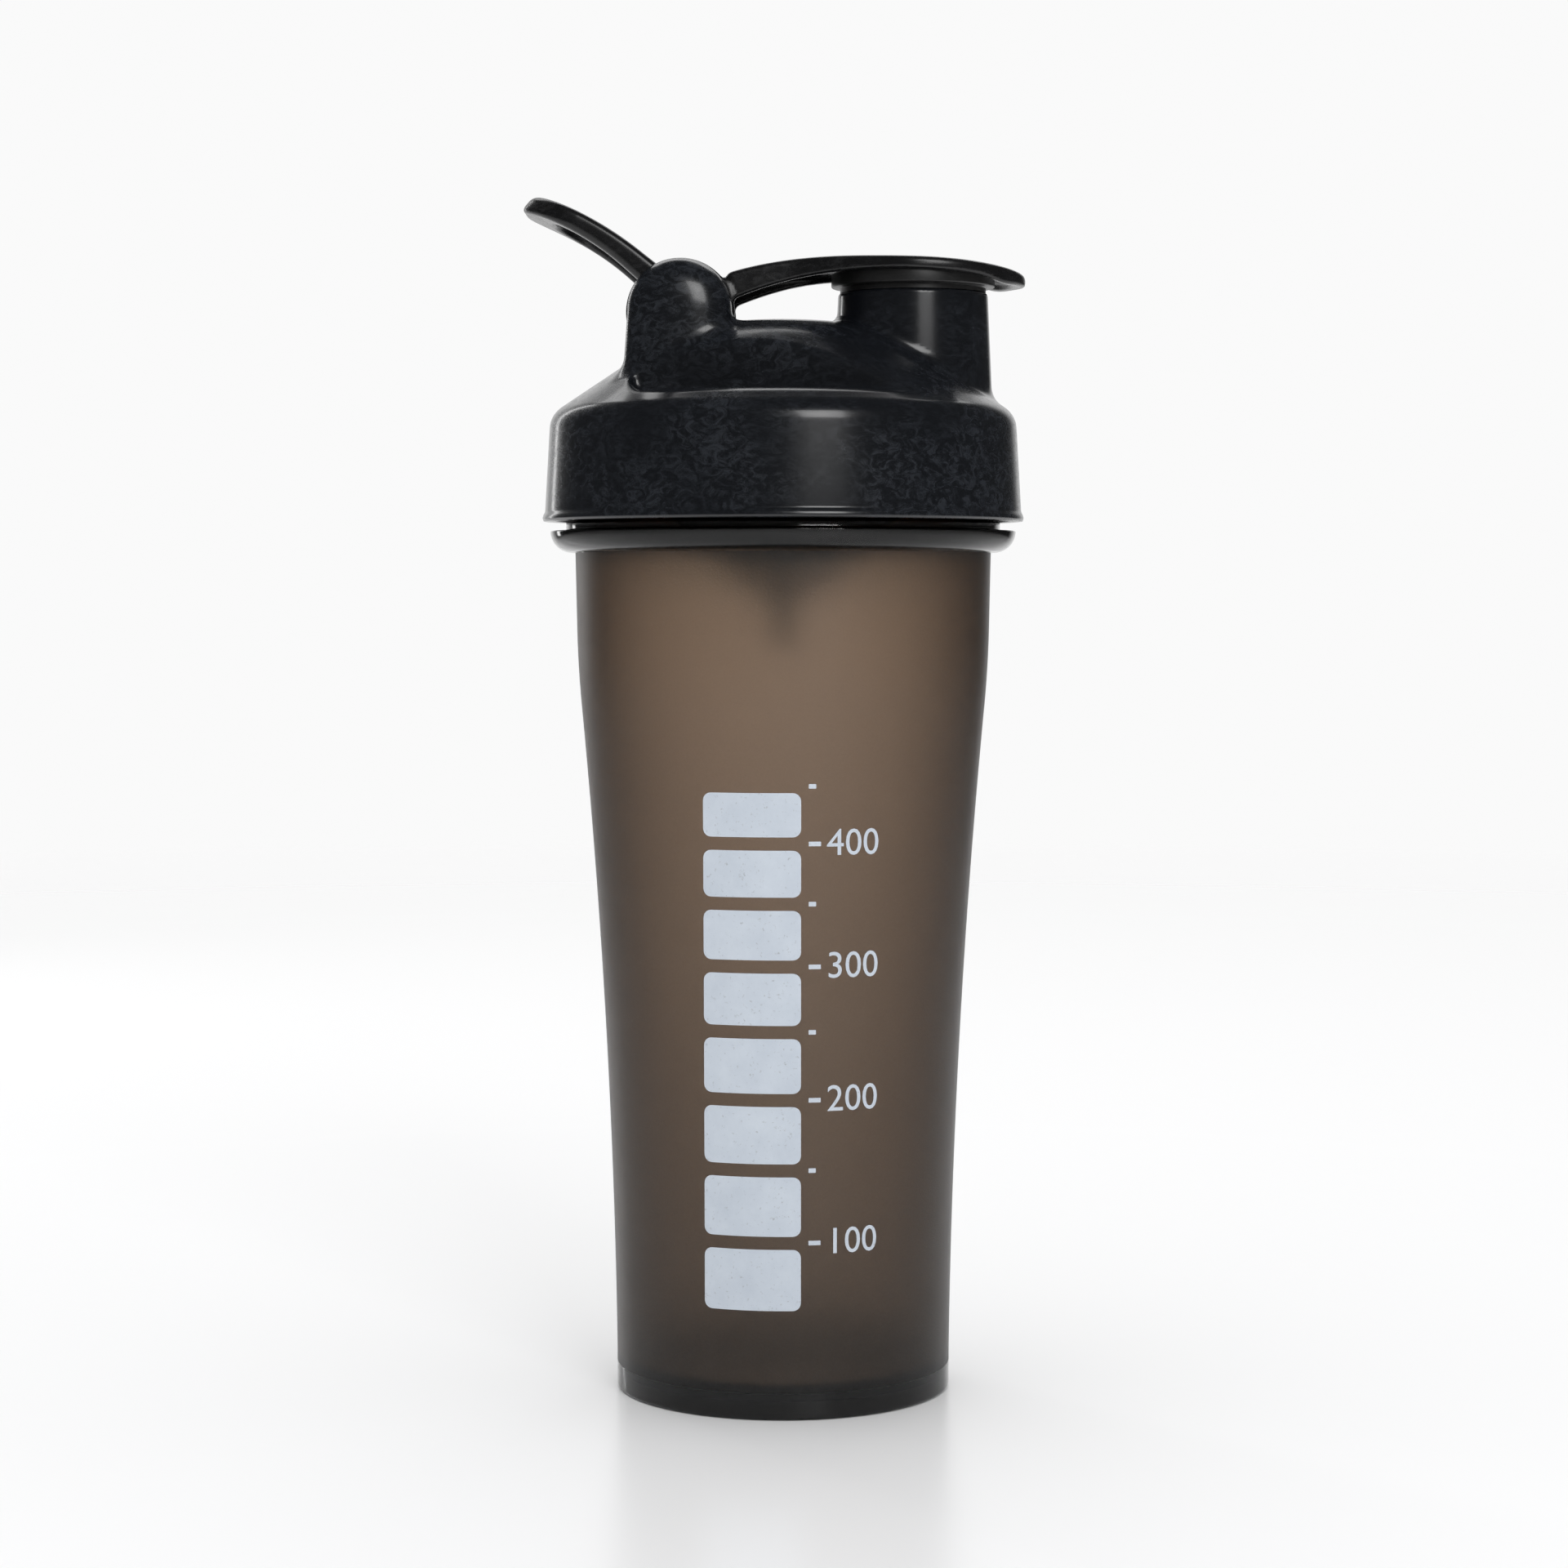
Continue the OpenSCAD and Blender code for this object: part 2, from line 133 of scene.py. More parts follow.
def newMaterial(name):
    material = bpy.data.materials.new(name)
    material.use_nodes = True
    material.node_tree.nodes.clear()
    tree = Tree(material.node_tree)
    place = tree.add("ShaderNodeTexCoord", out=3)  # object coordinates, in metres
    return material, tree, place


def finishMaterial(tree, shader, dye=None):
    # a dye darkens the light along its way through the plastic
    ends = {"Surface": shader}
    if dye:
        ends["Volume"] = tree.add("ShaderNodeVolumeAbsorption", None, {
            "Color": smoke["tint"], "Density": dye})
    tree.add("ShaderNodeOutputMaterial", None, ends)


def noiseAt(tree, place, scale, detail=3, roughness=0.55, distortion=0):
    return tree.add("ShaderNodeTexNoise", {"noise_dimensions": "3D"}, {
        "Vector": place, "Scale": scale, "Detail": detail,
        "Roughness": roughness, "Distortion": distortion})


def stretched(tree, place, scale):
    return tree.add("ShaderNodeMapping", None, {"Vector": place, "Scale": scale})


def colourMix(tree, factor, first, second):
    mix = tree.add("ShaderNodeMix", {"data_type": "RGBA"}, {"Factor": factor}, out=2)
    for index, value in ((6, first), (7, second)):
        if isinstance(value, Wire):
            tree.nodeTree.links.new(value.socket, mix.socket.node.inputs[index])
        else:
            mix.socket.node.inputs[index].default_value = value
    return mix


smoke = {"high": (0.95, 0.905, 0.865, 1), "low": (0.50, 0.48, 0.47, 1),  # frosted wall, top and foot; the darker foot colour is painted shade
         "full": 0.15, "bow": 0.8, "reach": 0.9,  # the top colour is reached at this height in metres
         "grain": 2600, "grainDepth": 0.00006, "grainBump": 0.5, "speckle": 0.5, "cloud": 22, "mottle": 0.16,
         "roughness": 0.32, "grit": 0.12,
         "clear": (0.58, 0.56, 0.545, 1), "worn": 0.85, "wear": 60, "clearRoughness": 0.04, "wearGrit": 0.1,
         "ior": 1.45, "tint": (0.41, 0.27, 0.12, 1), "density": 620, "thickDensity": 3000}


def smokeFrosted():
    material, tree, place = newMaterial("smokeFrosted")
    grain = noiseAt(tree, place, smoke["grain"], 2, 0.7)
    cloud = noiseAt(tree, place, smoke["cloud"], 3)
    height = tree.add("ShaderNodeSeparateXYZ", None, {0: place})
    # painted shade: the wall's colour darkens from the top down to the foot, standing in for less light
    # reaching the lower wall
    paintedShadeRise = (tree.output(height, 2) / smoke["full"]).clamp() ** smoke["bow"]
    speckle = (grain - 0.5) * smoke["speckle"] + (cloud - 0.5) * smoke["mottle"]
    shade = (paintedShadeRise * smoke["reach"] + speckle).clamp()
    colour = colourMix(tree, shade, smoke["low"], smoke["high"])
    bump = tree.add("ShaderNodeBump", None, {
        "Strength": smoke["grainBump"], "Distance": smoke["grainDepth"], "Height": grain})
    finishMaterial(tree, tree.add("ShaderNodeBsdfPrincipled", None, {
        "Base Color": colour, "Roughness": grain * smoke["grit"] + smoke["roughness"],
        "Transmission Weight": 1.0, "IOR": smoke["ior"], "Normal": bump}), smoke["density"])
    return material


def smokeClear():
    material, tree, place = newMaterial("smokeClear")
    wear = noiseAt(tree, place, smoke["wear"], 3)
    worn = tuple(c * smoke["worn"] for c in smoke["clear"][:3]) + (1,)
    colour = colourMix(tree, wear, worn, smoke["clear"])
    finishMaterial(tree, tree.add("ShaderNodeBsdfPrincipled", None, {
        "Base Color": colour, "Roughness": wear * smoke["wearGrit"] + smoke["clearRoughness"],
        "Transmission Weight": 1.0, "IOR": smoke["ior"]}), smoke["thickDensity"])
    return material


scuffs = {"swirl": 340, "swirlFrom": 0.44, "swirlSharp": 5, "patch": 30, "patchFrom": 0.39, "patchSharp": 5,
          "hair": 640, "hairFrom": 0.60, "hairSharp": 6, "hairShare": 0.4,
          "pale": 6, "haze": 0.004, "grit": 0.2, "unevenness": 0.06, "grainBump": 0.35}
mouldings = {
    "lid": {"name": "lidGloss", "colour": (0.0046, 0.0054, 0.0070, 1), "roughness": 0.19, "scuffed": 0.45,
            "grain": 900, "grainDepth": 0.000006, "coat": 0.25},
    "cap": {"name": "capSatin", "colour": (0.0046, 0.0046, 0.0050, 1), "roughness": 0.22, "scuffed": 0.5,
            "grain": 1500, "grainDepth": 0.00001, "coat": 0},
    "plug": {"name": "plugSoft", "colour": (0.0075, 0.0075, 0.0075, 1), "roughness": 0.34, "scuffed": 0.6,
             "grain": 1200, "grainDepth": 0.00002, "coat": 0},
    "grid": {"name": "gridSatin", "colour": (0.010, 0.010, 0.011, 1), "roughness": 0.32, "scuffed": 0.3,
             "grain": 1200, "grainDepth": 0.00001, "coat": 0}}


def blackPlastic(look):
    # black moulded plastic: patches of fine swirled scuffs, level hairlines and a trace of mould grain
    material, tree, place = newMaterial(look["name"])
    swirl = noiseAt(tree, stretched(tree, place, (1.0, 1.0, 1.6)), scuffs["swirl"], 4, 0.7, 1.4)
    patch = noiseAt(tree, place, scuffs["patch"], 3)
    hairs = noiseAt(tree, stretched(tree, place, (1.0, 1.0, 6.0)), scuffs["hair"], 2, 0.6, 0.8)
    swirls = ((swirl - scuffs["swirlFrom"]) * scuffs["swirlSharp"]).clamp()
    patches = ((patch - scuffs["patchFrom"]) * scuffs["patchSharp"]).clamp()
    lines = ((hairs - scuffs["hairFrom"]) * scuffs["hairSharp"]).clamp()
    marks = (swirls * patches + lines * scuffs["hairShare"]).clamp()
    worn = tuple(c * scuffs["pale"] + scuffs["haze"] for c in look["colour"][:3]) + (1,)
    colour = colourMix(tree, marks * look["scuffed"], look["colour"], worn)
    grain = noiseAt(tree, place, look["grain"], 2)
    bump = tree.add("ShaderNodeBump", None, {
        "Strength": scuffs["grainBump"], "Distance": look["grainDepth"], "Height": grain})
    roughness = marks * scuffs["grit"] * look["scuffed"] + patch * scuffs["unevenness"] + look["roughness"]
    finishMaterial(tree, tree.add("ShaderNodeBsdfPrincipled", None, {
        "Base Color": colour, "Roughness": roughness, "IOR": 1.5,
        "Coat Weight": look["coat"], "Coat Roughness": 0.1, "Normal": bump}))
    return material


ink = {"thin": (0.43, 0.48, 0.55, 1), "thick": (0.57, 0.62, 0.68, 1), "cloud": 160,
       "speck": (0.25, 0.26, 0.27, 1), "specks": 1500, "speckFrom": 0.63, "speckSharp": 8, "speckShare": 0.6,
       "roughness": 0.42, "grit": 0.2}


def inkPrint():
    material, tree, place = newMaterial("inkPrint")
    cloud = noiseAt(tree, place, ink["cloud"], 4, 0.7)
    specks = noiseAt(tree, place, ink["specks"], 2, 0.6)
    colour = colourMix(tree, cloud, ink["thin"], ink["thick"])
    missing = ((specks - ink["speckFrom"]) * ink["speckSharp"]).clamp() * ink["speckShare"]
    colour = colourMix(tree, missing, colour, ink["speck"])
    finishMaterial(tree, tree.add("ShaderNodeBsdfPrincipled", None, {
        "Base Color": colour, "Roughness": cloud * ink["grit"] + ink["roughness"]}))
    return material


rubber = {"dark": (0.42, 0.42, 0.42, 1), "pale": (0.56, 0.56, 0.55, 1), "dust": 300,
          "roughness": 0.5, "grit": 0.2}


def sealRubber():
    material, tree, place = newMaterial("sealRubber")
    dust = noiseAt(tree, place, rubber["dust"], 3)
    colour = colourMix(tree, dust, rubber["dark"], rubber["pale"])
    finishMaterial(tree, tree.add("ShaderNodeBsdfPrincipled", None, {
        "Base Color": colour, "Roughness": dust * rubber["grit"] + rubber["roughness"]}))
    return material


materials = {"frosted": smokeFrosted(), "clear": smokeClear(), "ink": inkPrint(), "seal": sealRubber()}
for use, look in mouldings.items():
    materials[use] = blackPlastic(look)
print("materials made")


def meshObject(name, vertices, faces, material):
    mesh = bpy.data.meshes.new(name)
    mesh.from_pydata([tuple(v) for v in vertices], [], faces)
    mesh.materials.append(material)
    piece = bpy.data.objects.new(name, mesh)
    bpy.context.scene.collection.objects.link(piece)
    return piece


def tidyNormals(piece, angle=35):
    work = bmesh.new()
    work.from_mesh(piece.data)
    bmesh.ops.recalc_face_normals(work, faces=work.faces)
    work.to_mesh(piece.data)
    work.free()
    piece.data.shade_smooth()
    piece.data.set_sharp_from_angle(angle=math.radians(angle))


def rideOn(piece, body, node):
    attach(piece, body)
    if node:
        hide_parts(node)


def sweepTree():
    # sweeps the input outline about Z: a full turn is a lathe, more with a rise is a thread
    group = bpy.data.node_groups.new("sweepAboutZ", "GeometryNodeTree")
    face = group.interface
    face.new_socket("Outline", in_out="INPUT", socket_type="NodeSocketGeometry")
    for name, kind in (("Segments", "NodeSocketInt"), ("Turns", "NodeSocketFloat"),
                       ("Lead", "NodeSocketFloat"), ("Fade", "NodeSocketFloat"),
                       ("Root", "NodeSocketVector"), ("Finish", "NodeSocketMaterial")):
        face.new_socket(name, in_out="INPUT", socket_type=kind)
    face.new_socket("Solid", in_out="OUTPUT", socket_type="NodeSocketGeometry")
    tree = Tree(group)
    outline = tree.add("NodeGroupInput")
    segments, turns, lead, fade, root, finish = [tree.output(outline, i) for i in range(1, 7)]
    points = tree.add("GeometryNodeAttributeDomainSize", {"component": "MESH"}, {0: outline})
    columns = segments + 1
    sheet = tree.add("GeometryNodeMeshGrid", None, {
        "Size X": 1.0, "Size Y": 1.0, "Vertices X": points, "Vertices Y": columns})
    index = tree.add("GeometryNodeInputIndex")
    row = (index / columns + 0.0001).math("FLOOR")  # a hair up, so that an exact row isn't rounded down
    along = (index - row * columns) / segments
    position = tree.add("GeometryNodeInputPosition")
    corner = tree.add("GeometryNodeSampleIndex", {"data_type": "FLOAT_VECTOR", "domain": "POINT"},
                      {"Geometry": outline, "Value": position, "Index": row})
    # the section grows from its root over the fade at both ends, and at once where the fade is nil
    ends = along.math("MINIMUM", 1 - along)
    grow = (ends / fade.math("MAXIMUM", 0.00001) + fade.math("LESS_THAN", 0.00002)).clamp()
    section = tree.add("ShaderNodeMix", {"data_type": "VECTOR"}, {"Factor": grow}, out=1)
    links = group.links
    links.new(root.socket, section.socket.node.inputs[4])
    links.new(corner.socket, section.socket.node.inputs[5])
    parts = tree.add("ShaderNodeSeparateXYZ", None, {0: section})
    height = tree.output(parts, 2)
    angle = along * turns * math.tau
    x = parts * angle.math("COSINE")
    y = parts * angle.math("SINE")
    z = height + along * turns * lead
    place = tree.add("ShaderNodeCombineXYZ", None, {0: x, 1: y, 2: z})
    swept = tree.add("GeometryNodeSetPosition", None, {"Geometry": sheet, "Position": place})
    merged = tree.add("GeometryNodeMergeByDistance", None, {"Geometry": swept, "Distance": 0.000002})
    real = tree.add("GeometryNodeRealizeInstances", None, {0: merged})
    done = tree.add("GeometryNodeSetMaterial", None, {"Geometry": real, "Material": finish})
    tree.add("NodeGroupOutput", None, {0: done})
    return group


def ribTree():
    # a ring of straight bars, each leaning along the cone, joined to the base that comes in
    group = bpy.data.node_groups.new("ribsOnCone", "GeometryNodeTree")
    face = group.interface
    face.new_socket("Base", in_out="INPUT", socket_type="NodeSocketGeometry")
    for name, kind in (("Count", "NodeSocketInt"), ("Bar Size", "NodeSocketVector"),
                       ("Bar Place", "NodeSocketVector"), ("Tilt", "NodeSocketFloat"),
                       ("Finish", "NodeSocketMaterial")):
        face.new_socket(name, in_out="INPUT", socket_type=kind)
    face.new_socket("Solid", in_out="OUTPUT", socket_type="NodeSocketGeometry")
    tree = Tree(group)
    base = tree.add("NodeGroupInput")
    count, barSize, barPlace, tilt, finish = [tree.output(base, i) for i in range(1, 6)]
    bar = tree.add("GeometryNodeMeshCube", None, {"Size": barSize})
    lean = tree.add("ShaderNodeCombineXYZ", None, {1: tilt})
    placed = tree.add("GeometryNodeTransform", None, {
        "Geometry": bar, "Translation": barPlace, "Rotation": lean})
    spots = tree.add("GeometryNodePoints", None, {"Count": count})
    turn = tree.add("GeometryNodeInputIndex") / count * math.tau
    around = tree.add("ShaderNodeCombineXYZ", None, {2: turn})
    bars = tree.add("GeometryNodeInstanceOnPoints", None, {
        "Points": spots, "Instance": placed, "Rotation": around})
    both = tree.add("GeometryNodeJoinGeometry", None, {0: bars})
    group.links.new(base.socket, both.socket.node.inputs[0])
    real = tree.add("GeometryNodeRealizeInstances", None, {0: both})
    done = tree.add("GeometryNodeSetMaterial", None, {"Geometry": real, "Material": finish})
    tree.add("NodeGroupOutput", None, {0: done})
    return group


def growWith(piece, group, values):
    # runs a node tree on the piece with named inputs and keeps the result as a plain mesh
    modifier = piece.modifiers.new("grow", "NODES")
    modifier.node_group = group
    sockets = {s.name: s.identifier for s in group.interface.items_tree if s.in_out == "INPUT"}
    for name, value in values.items():
        modifier[sockets[name]] = value
    bpy.context.view_layer.update()
    evaluated = piece.evaluated_get(bpy.context.evaluated_depsgraph_get())
    mesh = bpy.data.meshes.new_from_object(evaluated)
    piece.modifiers.remove(modifier)
    piece.data = mesh
    mesh.name = piece.name
    return piece


def sweep(name, outline, material, segments, turns=1.0, lead=0.0, fade=0.0, root=(0, 0), closed=True):
    points = [(r * mm, 0, z * mm) for r, z in outline]
    if closed:
        points.append(points[0])
    piece = meshObject(name, points, [], material)
    values = {"Segments": segments, "Turns": turns, "Lead": lead * mm, "Fade": fade,
              "Root": (root[0] * mm, 0, root[1] * mm), "Finish": material}
    growWith(piece, sweepGroup, values)
    return piece


def joinPieces(pieces, name):
    work = bmesh.new()
    materialsUsed = []
    for piece in pieces:
        for material in piece.data.materials:
            if material not in materialsUsed:
                materialsUsed.append(material)
        start = len(work.faces)
        work.from_mesh(piece.data)
        work.faces.ensure_lookup_table()
        for face in work.faces[start:]:
            face.material_index = materialsUsed.index(piece.data.materials[face.material_index])
    mesh = bpy.data.meshes.new(name)
    work.to_mesh(mesh)
    work.free()
    for material in materialsUsed:
        mesh.materials.append(material)
    for piece in pieces:
        bpy.data.objects.remove(piece)
    joined = bpy.data.objects.new(name, mesh)
    bpy.context.scene.collection.objects.link(joined)
    return joined


def arcPoints(centre, radius, start, end, count):
    angles = [math.radians(start + (end - start) * i / count) for i in range(count + 1)]
    return [(centre[0] + radius * math.cos(a), centre[1] + radius * math.sin(a)) for a in angles]


sweepGroup = sweepTree()
ribGroup = ribTree()


def smoothMin(a, b, k):
    h = np.clip(0.5 + 0.5 * (b - a) / k, 0, 1)
    return b + (a - b) * h - k * h * (1 - h)


def smoothMax(a, b, k):
    return -smoothMin(-a, -b, k)


def stepBetween(low, high, x):
    t = np.clip((x - low) / (high - low), 0, 1)
    return t * t * (3 - 2 * t)


sculpt = {"probe": 0.02, "longestStep": 0.4, "flattest": 0.05,  # how points are brought to the surface
          "rounds": 4, "evenings": 3, "evenRounds": 2, "evenPull": 0.5}


def slopeOf(field, p):
    h = sculpt["probe"]
    slope = np.empty_like(p)
    for axis in range(3):
        shift = np.zeros(3)
        shift[axis] = h
        slope[:, axis] = (field(*(p + shift).T) - field(*(p - shift).T)) / (2 * h)
    return slope


def settle(field, p, rounds):
    for _ in range(rounds):
        slope = slopeOf(field, p)
        size = np.maximum((slope ** 2).sum(1), sculpt["flattest"])
        step = (field(*p.T) / size)[:, None] * slope
        length = np.maximum(np.linalg.norm(step, axis=1), 1e-9)
        p = p - step * np.minimum(1, sculpt["longestStep"] / length)[:, None]
    return p


def cutCells(values, inside):
    # finds the cells that the surface passes through, and the mean of its crossings in each
    corners = [(i, j, k) for i in (0, 1) for j in (0, 1) for k in (0, 1)]
    shape = [n - 1 for n in values.shape]
    filled = np.zeros(shape, np.int8)
    for i, j, k in corners:
        filled += inside[i:i + shape[0], j:j + shape[1], k:k + shape[2]]
    active = (filled > 0) & (filled < len(corners))
    cells = np.argwhere(active)
    number = np.full(shape, -1)
    number[active] = np.arange(len(cells))
    total, count = np.zeros((len(cells), 3)), np.zeros(len(cells))
    for a in corners:
        for b in corners:
            if sum(b) - sum(a) != 1 or any(q < p for p, q in zip(a, b)):
                continue
            va, vb = values[tuple((cells + a).T)], values[tuple((cells + b).T)]
            crossing = (va < 0) != (vb < 0)
            t = np.where(crossing, va / np.where(crossing, va - vb, 1), 0)[:, None]
            total += np.where(crossing[:, None], np.array(a) + t * (np.array(b) - a), 0)
            count += crossing
    return number, cells + total / count[:, None]


def quadsBetween(inside, number, wrapped):
    # one four-sided face for each grid edge that the surface crosses, between the four cells around it
    shape = number.shape
    quads = []
    for axis in range(3):
        u, v = [a for a in range(3) if a != axis]
        ahead = np.take(inside, range(1, inside.shape[axis]), axis)
        behind = np.take(inside, range(inside.shape[axis] - 1), axis)
        edges = np.argwhere(ahead != behind)
        if not (wrapped and u == 0):
            edges = edges[edges[:, u] > 0]
        edges = edges[edges[:, v] > 0]
        edges = edges[(edges[:, u] < shape[u]) & (edges[:, v] < shape[v])]
        ring = []
        for du, dv in ((-1, -1), (0, -1), (0, 0), (-1, 0)):
            cell = edges.copy()
            cell[:, u] += du
            cell[:, v] += dv
            if wrapped:
                cell[:, 0] %= shape[0]
            ring.append(number[tuple(cell.T)])
        quads.append(np.array(ring).T)
    quads = np.concatenate(quads)
    return quads[(quads >= 0).all(1)]


def evenOut(field, p, quads):
    # draws each point towards its neighbours and back to the surface, so that the faces are alike
    pairs = np.concatenate([quads[:, [i, (i + 1) % 4]] for i in range(4)])
    pairs = np.concatenate([pairs, pairs[:, ::-1]])
    around = np.maximum(np.bincount(pairs[:, 0], minlength=len(p)), 1)[:, None]
    for _ in range(sculpt["evenings"]):
        mean = np.stack([np.bincount(pairs[:, 0], p[pairs[:, 1], a], len(p)) for a in range(3)], 1) / around
        p = settle(field, p + sculpt["evenPull"] * (mean - p), sculpt["evenRounds"])
    return p


def carve(name, field, axes, toSpace, wrapped, material):
    # turns a field that is negative inside into a closed mesh whose points lie on its surface
    values = field(*toSpace(*np.meshgrid(*axes, indexing="ij")))
    if wrapped:
        values = np.concatenate([values, values[:1]], 0)
    inside = values < 0
    number, where = cutCells(values, inside)
    coordinates = []
    for axis in range(3):
        ticks = axes[axis]
        if wrapped and axis == 0:
            ticks = np.append(ticks, 2 * ticks[-1] - ticks[-2])
        coordinates.append(np.interp(where[:, axis], np.arange(len(ticks)), ticks))
    quads = quadsBetween(inside, number, wrapped)
    p = settle(field, np.array(toSpace(*coordinates)).T, sculpt["rounds"])
    p = evenOut(field, p, quads)
    middle = p[quads]
    facing = np.cross(middle[:, 2] - middle[:, 0], middle[:, 3] - middle[:, 1])
    wrong = (facing * slopeOf(field, p)[quads].mean(1)).sum(1) < 0
    quads[wrong] = quads[wrong][:, ::-1]
    return meshObject(name, p * mm, [tuple(int(i) for i in q) for q in quads], material)


def polish(piece, field, joinDistance):
    # closes the poles, then gives each point the true direction of the surface
    work = bmesh.new()
    work.from_mesh(piece.data)
    bmesh.ops.remove_doubles(work, verts=work.verts, dist=joinDistance * mm)
    rims = [e for e in work.edges if e.is_boundary]
    if rims:
        bmesh.ops.holes_fill(work, edges=rims)
    work.to_mesh(piece.data)
    work.free()
    piece.data.validate()
    p = np.array([v.co for v in piece.data.vertices]) / mm
    slope = slopeOf(field, p)
    slope /= np.maximum(np.linalg.norm(slope, axis=1), 1e-9)[:, None]
    piece.data.shade_smooth()
    piece.data.normals_split_custom_set_from_vertices([tuple(n) for n in slope])
    return piece


def straight(x, y, z):
    return x, y, z


def aroundZ(a, r, z):
    return r * np.cos(a), r * np.sin(a), z


cup = {"footRadius": 34.2, "footHeight": 8.0, "footRound": 0.8, "recess": 3.6, "floor": 2.0, "wall": 1.8,
       "floorRound": 2.0, "clearFoot": 5.4, "edge": 0.4, "flangeEdge": 0.3,
       "throatRise": 2.4, "throatFall": 2.6,
       "bendZ": 140.0, "bendLength": 16.0, "straightShare": 0.24, "bandSlope": 0.02, "bandHeight": 15.2,
       "flangeHeight": 4.4, "neckRadius": 44.2, "neckWall": 2.2, "shoulderIn": 3.07, "segments": 256,
       "threadDepth": 1.6, "threadLead": 4.2, "threadTurns": 1.25, "threadLift": 6.9, "threadRoot": 1.25,
       "threadCrest": 0.6, "threadFade": 0.06, "threadSegments": 220}
bendRadius = cup["neckRadius"] - cup["shoulderIn"]
taperHeight = cup["bendZ"] - cup["footHeight"]
bendSlope = (bendRadius - cup["footRadius"]) * (2 - cup["straightShare"]) / taperHeight
bandZ = cup["bendZ"] + cup["bendLength"]
bandRadius = bendRadius + (bendSlope + cup["bandSlope"]) / 2 * cup["bendLength"]
bodyTopZ = bandZ + cup["bandHeight"]
flangeZ = bodyTopZ + cup["flangeHeight"]
flangeRadius = cupHigh.x
rimZ = cupHigh.z


def cupRadius(z):
    u = (z - cup["footHeight"]) / taperHeight
    s = z - cup["bendZ"]
    if u <= 0:
        return cup["footRadius"]
    if s <= 0:
        share = cup["straightShare"]
        return cup["footRadius"] + (bendRadius - cup["footRadius"]) * (share * u + (1 - share) * u * u)
    if z <= bandZ:
        return bendRadius + bendSlope * s - (bendSlope - cup["bandSlope"]) * s * s / (2 * cup["bendLength"])
    return bandRadius + cup["bandSlope"] * (z - bandZ)


def cupOutline():
    # half of the body's section, up the outside from the foot and back down the inside
    foot, wall, neck = cup["footRadius"], cup["wall"], cup["neckRadius"]
    neckIn = neck - cup["neckWall"]
    floorZ = cup["recess"] + cup["floor"]
    heights = np.linspace(cup["footHeight"], bodyTopZ, 64)
    footRound, floorRound = cup["footRound"], cup["floorRound"]
    flange, flangeEdge, edge = cup["flangeHeight"], cup["flangeEdge"], cup["edge"]
    outer = [(foot - wall, 0)]
    outer += arcPoints((foot - footRound, footRound), footRound, -90, 0, 5)
    outer += [(foot, cup["clearFoot"])] + [(cupRadius(z), z) for z in heights]
    outer += [(cupRadius(bodyTopZ) + 0.05, bodyTopZ + 0.25)]
    outer += arcPoints((flangeRadius - flange, flangeZ), flange, -82, -4, 10)
    outer += arcPoints((flangeRadius - flangeEdge, flangeZ - flangeEdge), flangeEdge, 10, 90, 3)
    outer += arcPoints((neck + edge, flangeZ + edge), edge, 270, 180, 3)
    outer += arcPoints((neck - edge, rimZ - edge), edge, 0, 90, 4)
    inner = [(neckIn, rimZ), (neckIn, flangeZ + cup["throatRise"])]
    inner += [(cupRadius(bodyTopZ) - wall, flangeZ - cup["throatFall"])]
    inner += [(cupRadius(z) - wall, z) for z in heights[::-1]]
    inner += arcPoints((foot - wall - floorRound, floorZ + floorRound), floorRound, 0, -90, 5)
    inner += [(0, floorZ), (0, cup["recess"]), (foot - wall, cup["recess"])]
    return outer + inner


def frostWall(body):
    # the tapered wall is frosted on both sides, while the foot, the floor, the flange and the neck are clear
    body.data.materials.clear()
    for finish in ("clear", "frosted"):
        body.data.materials.append(materials[finish])
    for face in body.data.polygons:
        r = face.center.xy.length / mm
        z = face.center.z / mm
        onWall = cup["clearFoot"] < z < bodyTopZ and r > cupRadius(z) - cup["wall"] - 0.3
        face.material_index = 1 if onWall else 0


def makeCup():
    body = sweep("cupBody", cupOutline(), materials["clear"], cup["segments"])
    tidyNormals(body, 50)
    frostWall(body)
    root, crest = cup["neckRadius"] - 0.3, cup["neckRadius"] + cup["threadDepth"]
    startZ = flangeZ + cup["threadLift"]
    wide, slim = cup["threadRoot"], cup["threadCrest"]
    rib = [(root, startZ - wide), (crest - 0.15, startZ - slim - 0.15), (crest, startZ - slim),
           (crest, startZ + slim), (crest - 0.15, startZ + slim + 0.15), (root, startZ + wide)]
    thread = sweep("cupThread", rib, materials["clear"], cup["threadSegments"], cup["threadTurns"],
                   cup["threadLead"], cup["threadFade"], (root, startZ))
    tidyNormals(thread, 40)
    whole = joinPieces([body, thread], "cupShell")
    rideOn(whole, "cup", "cup")


makeCup()
print("cup made")


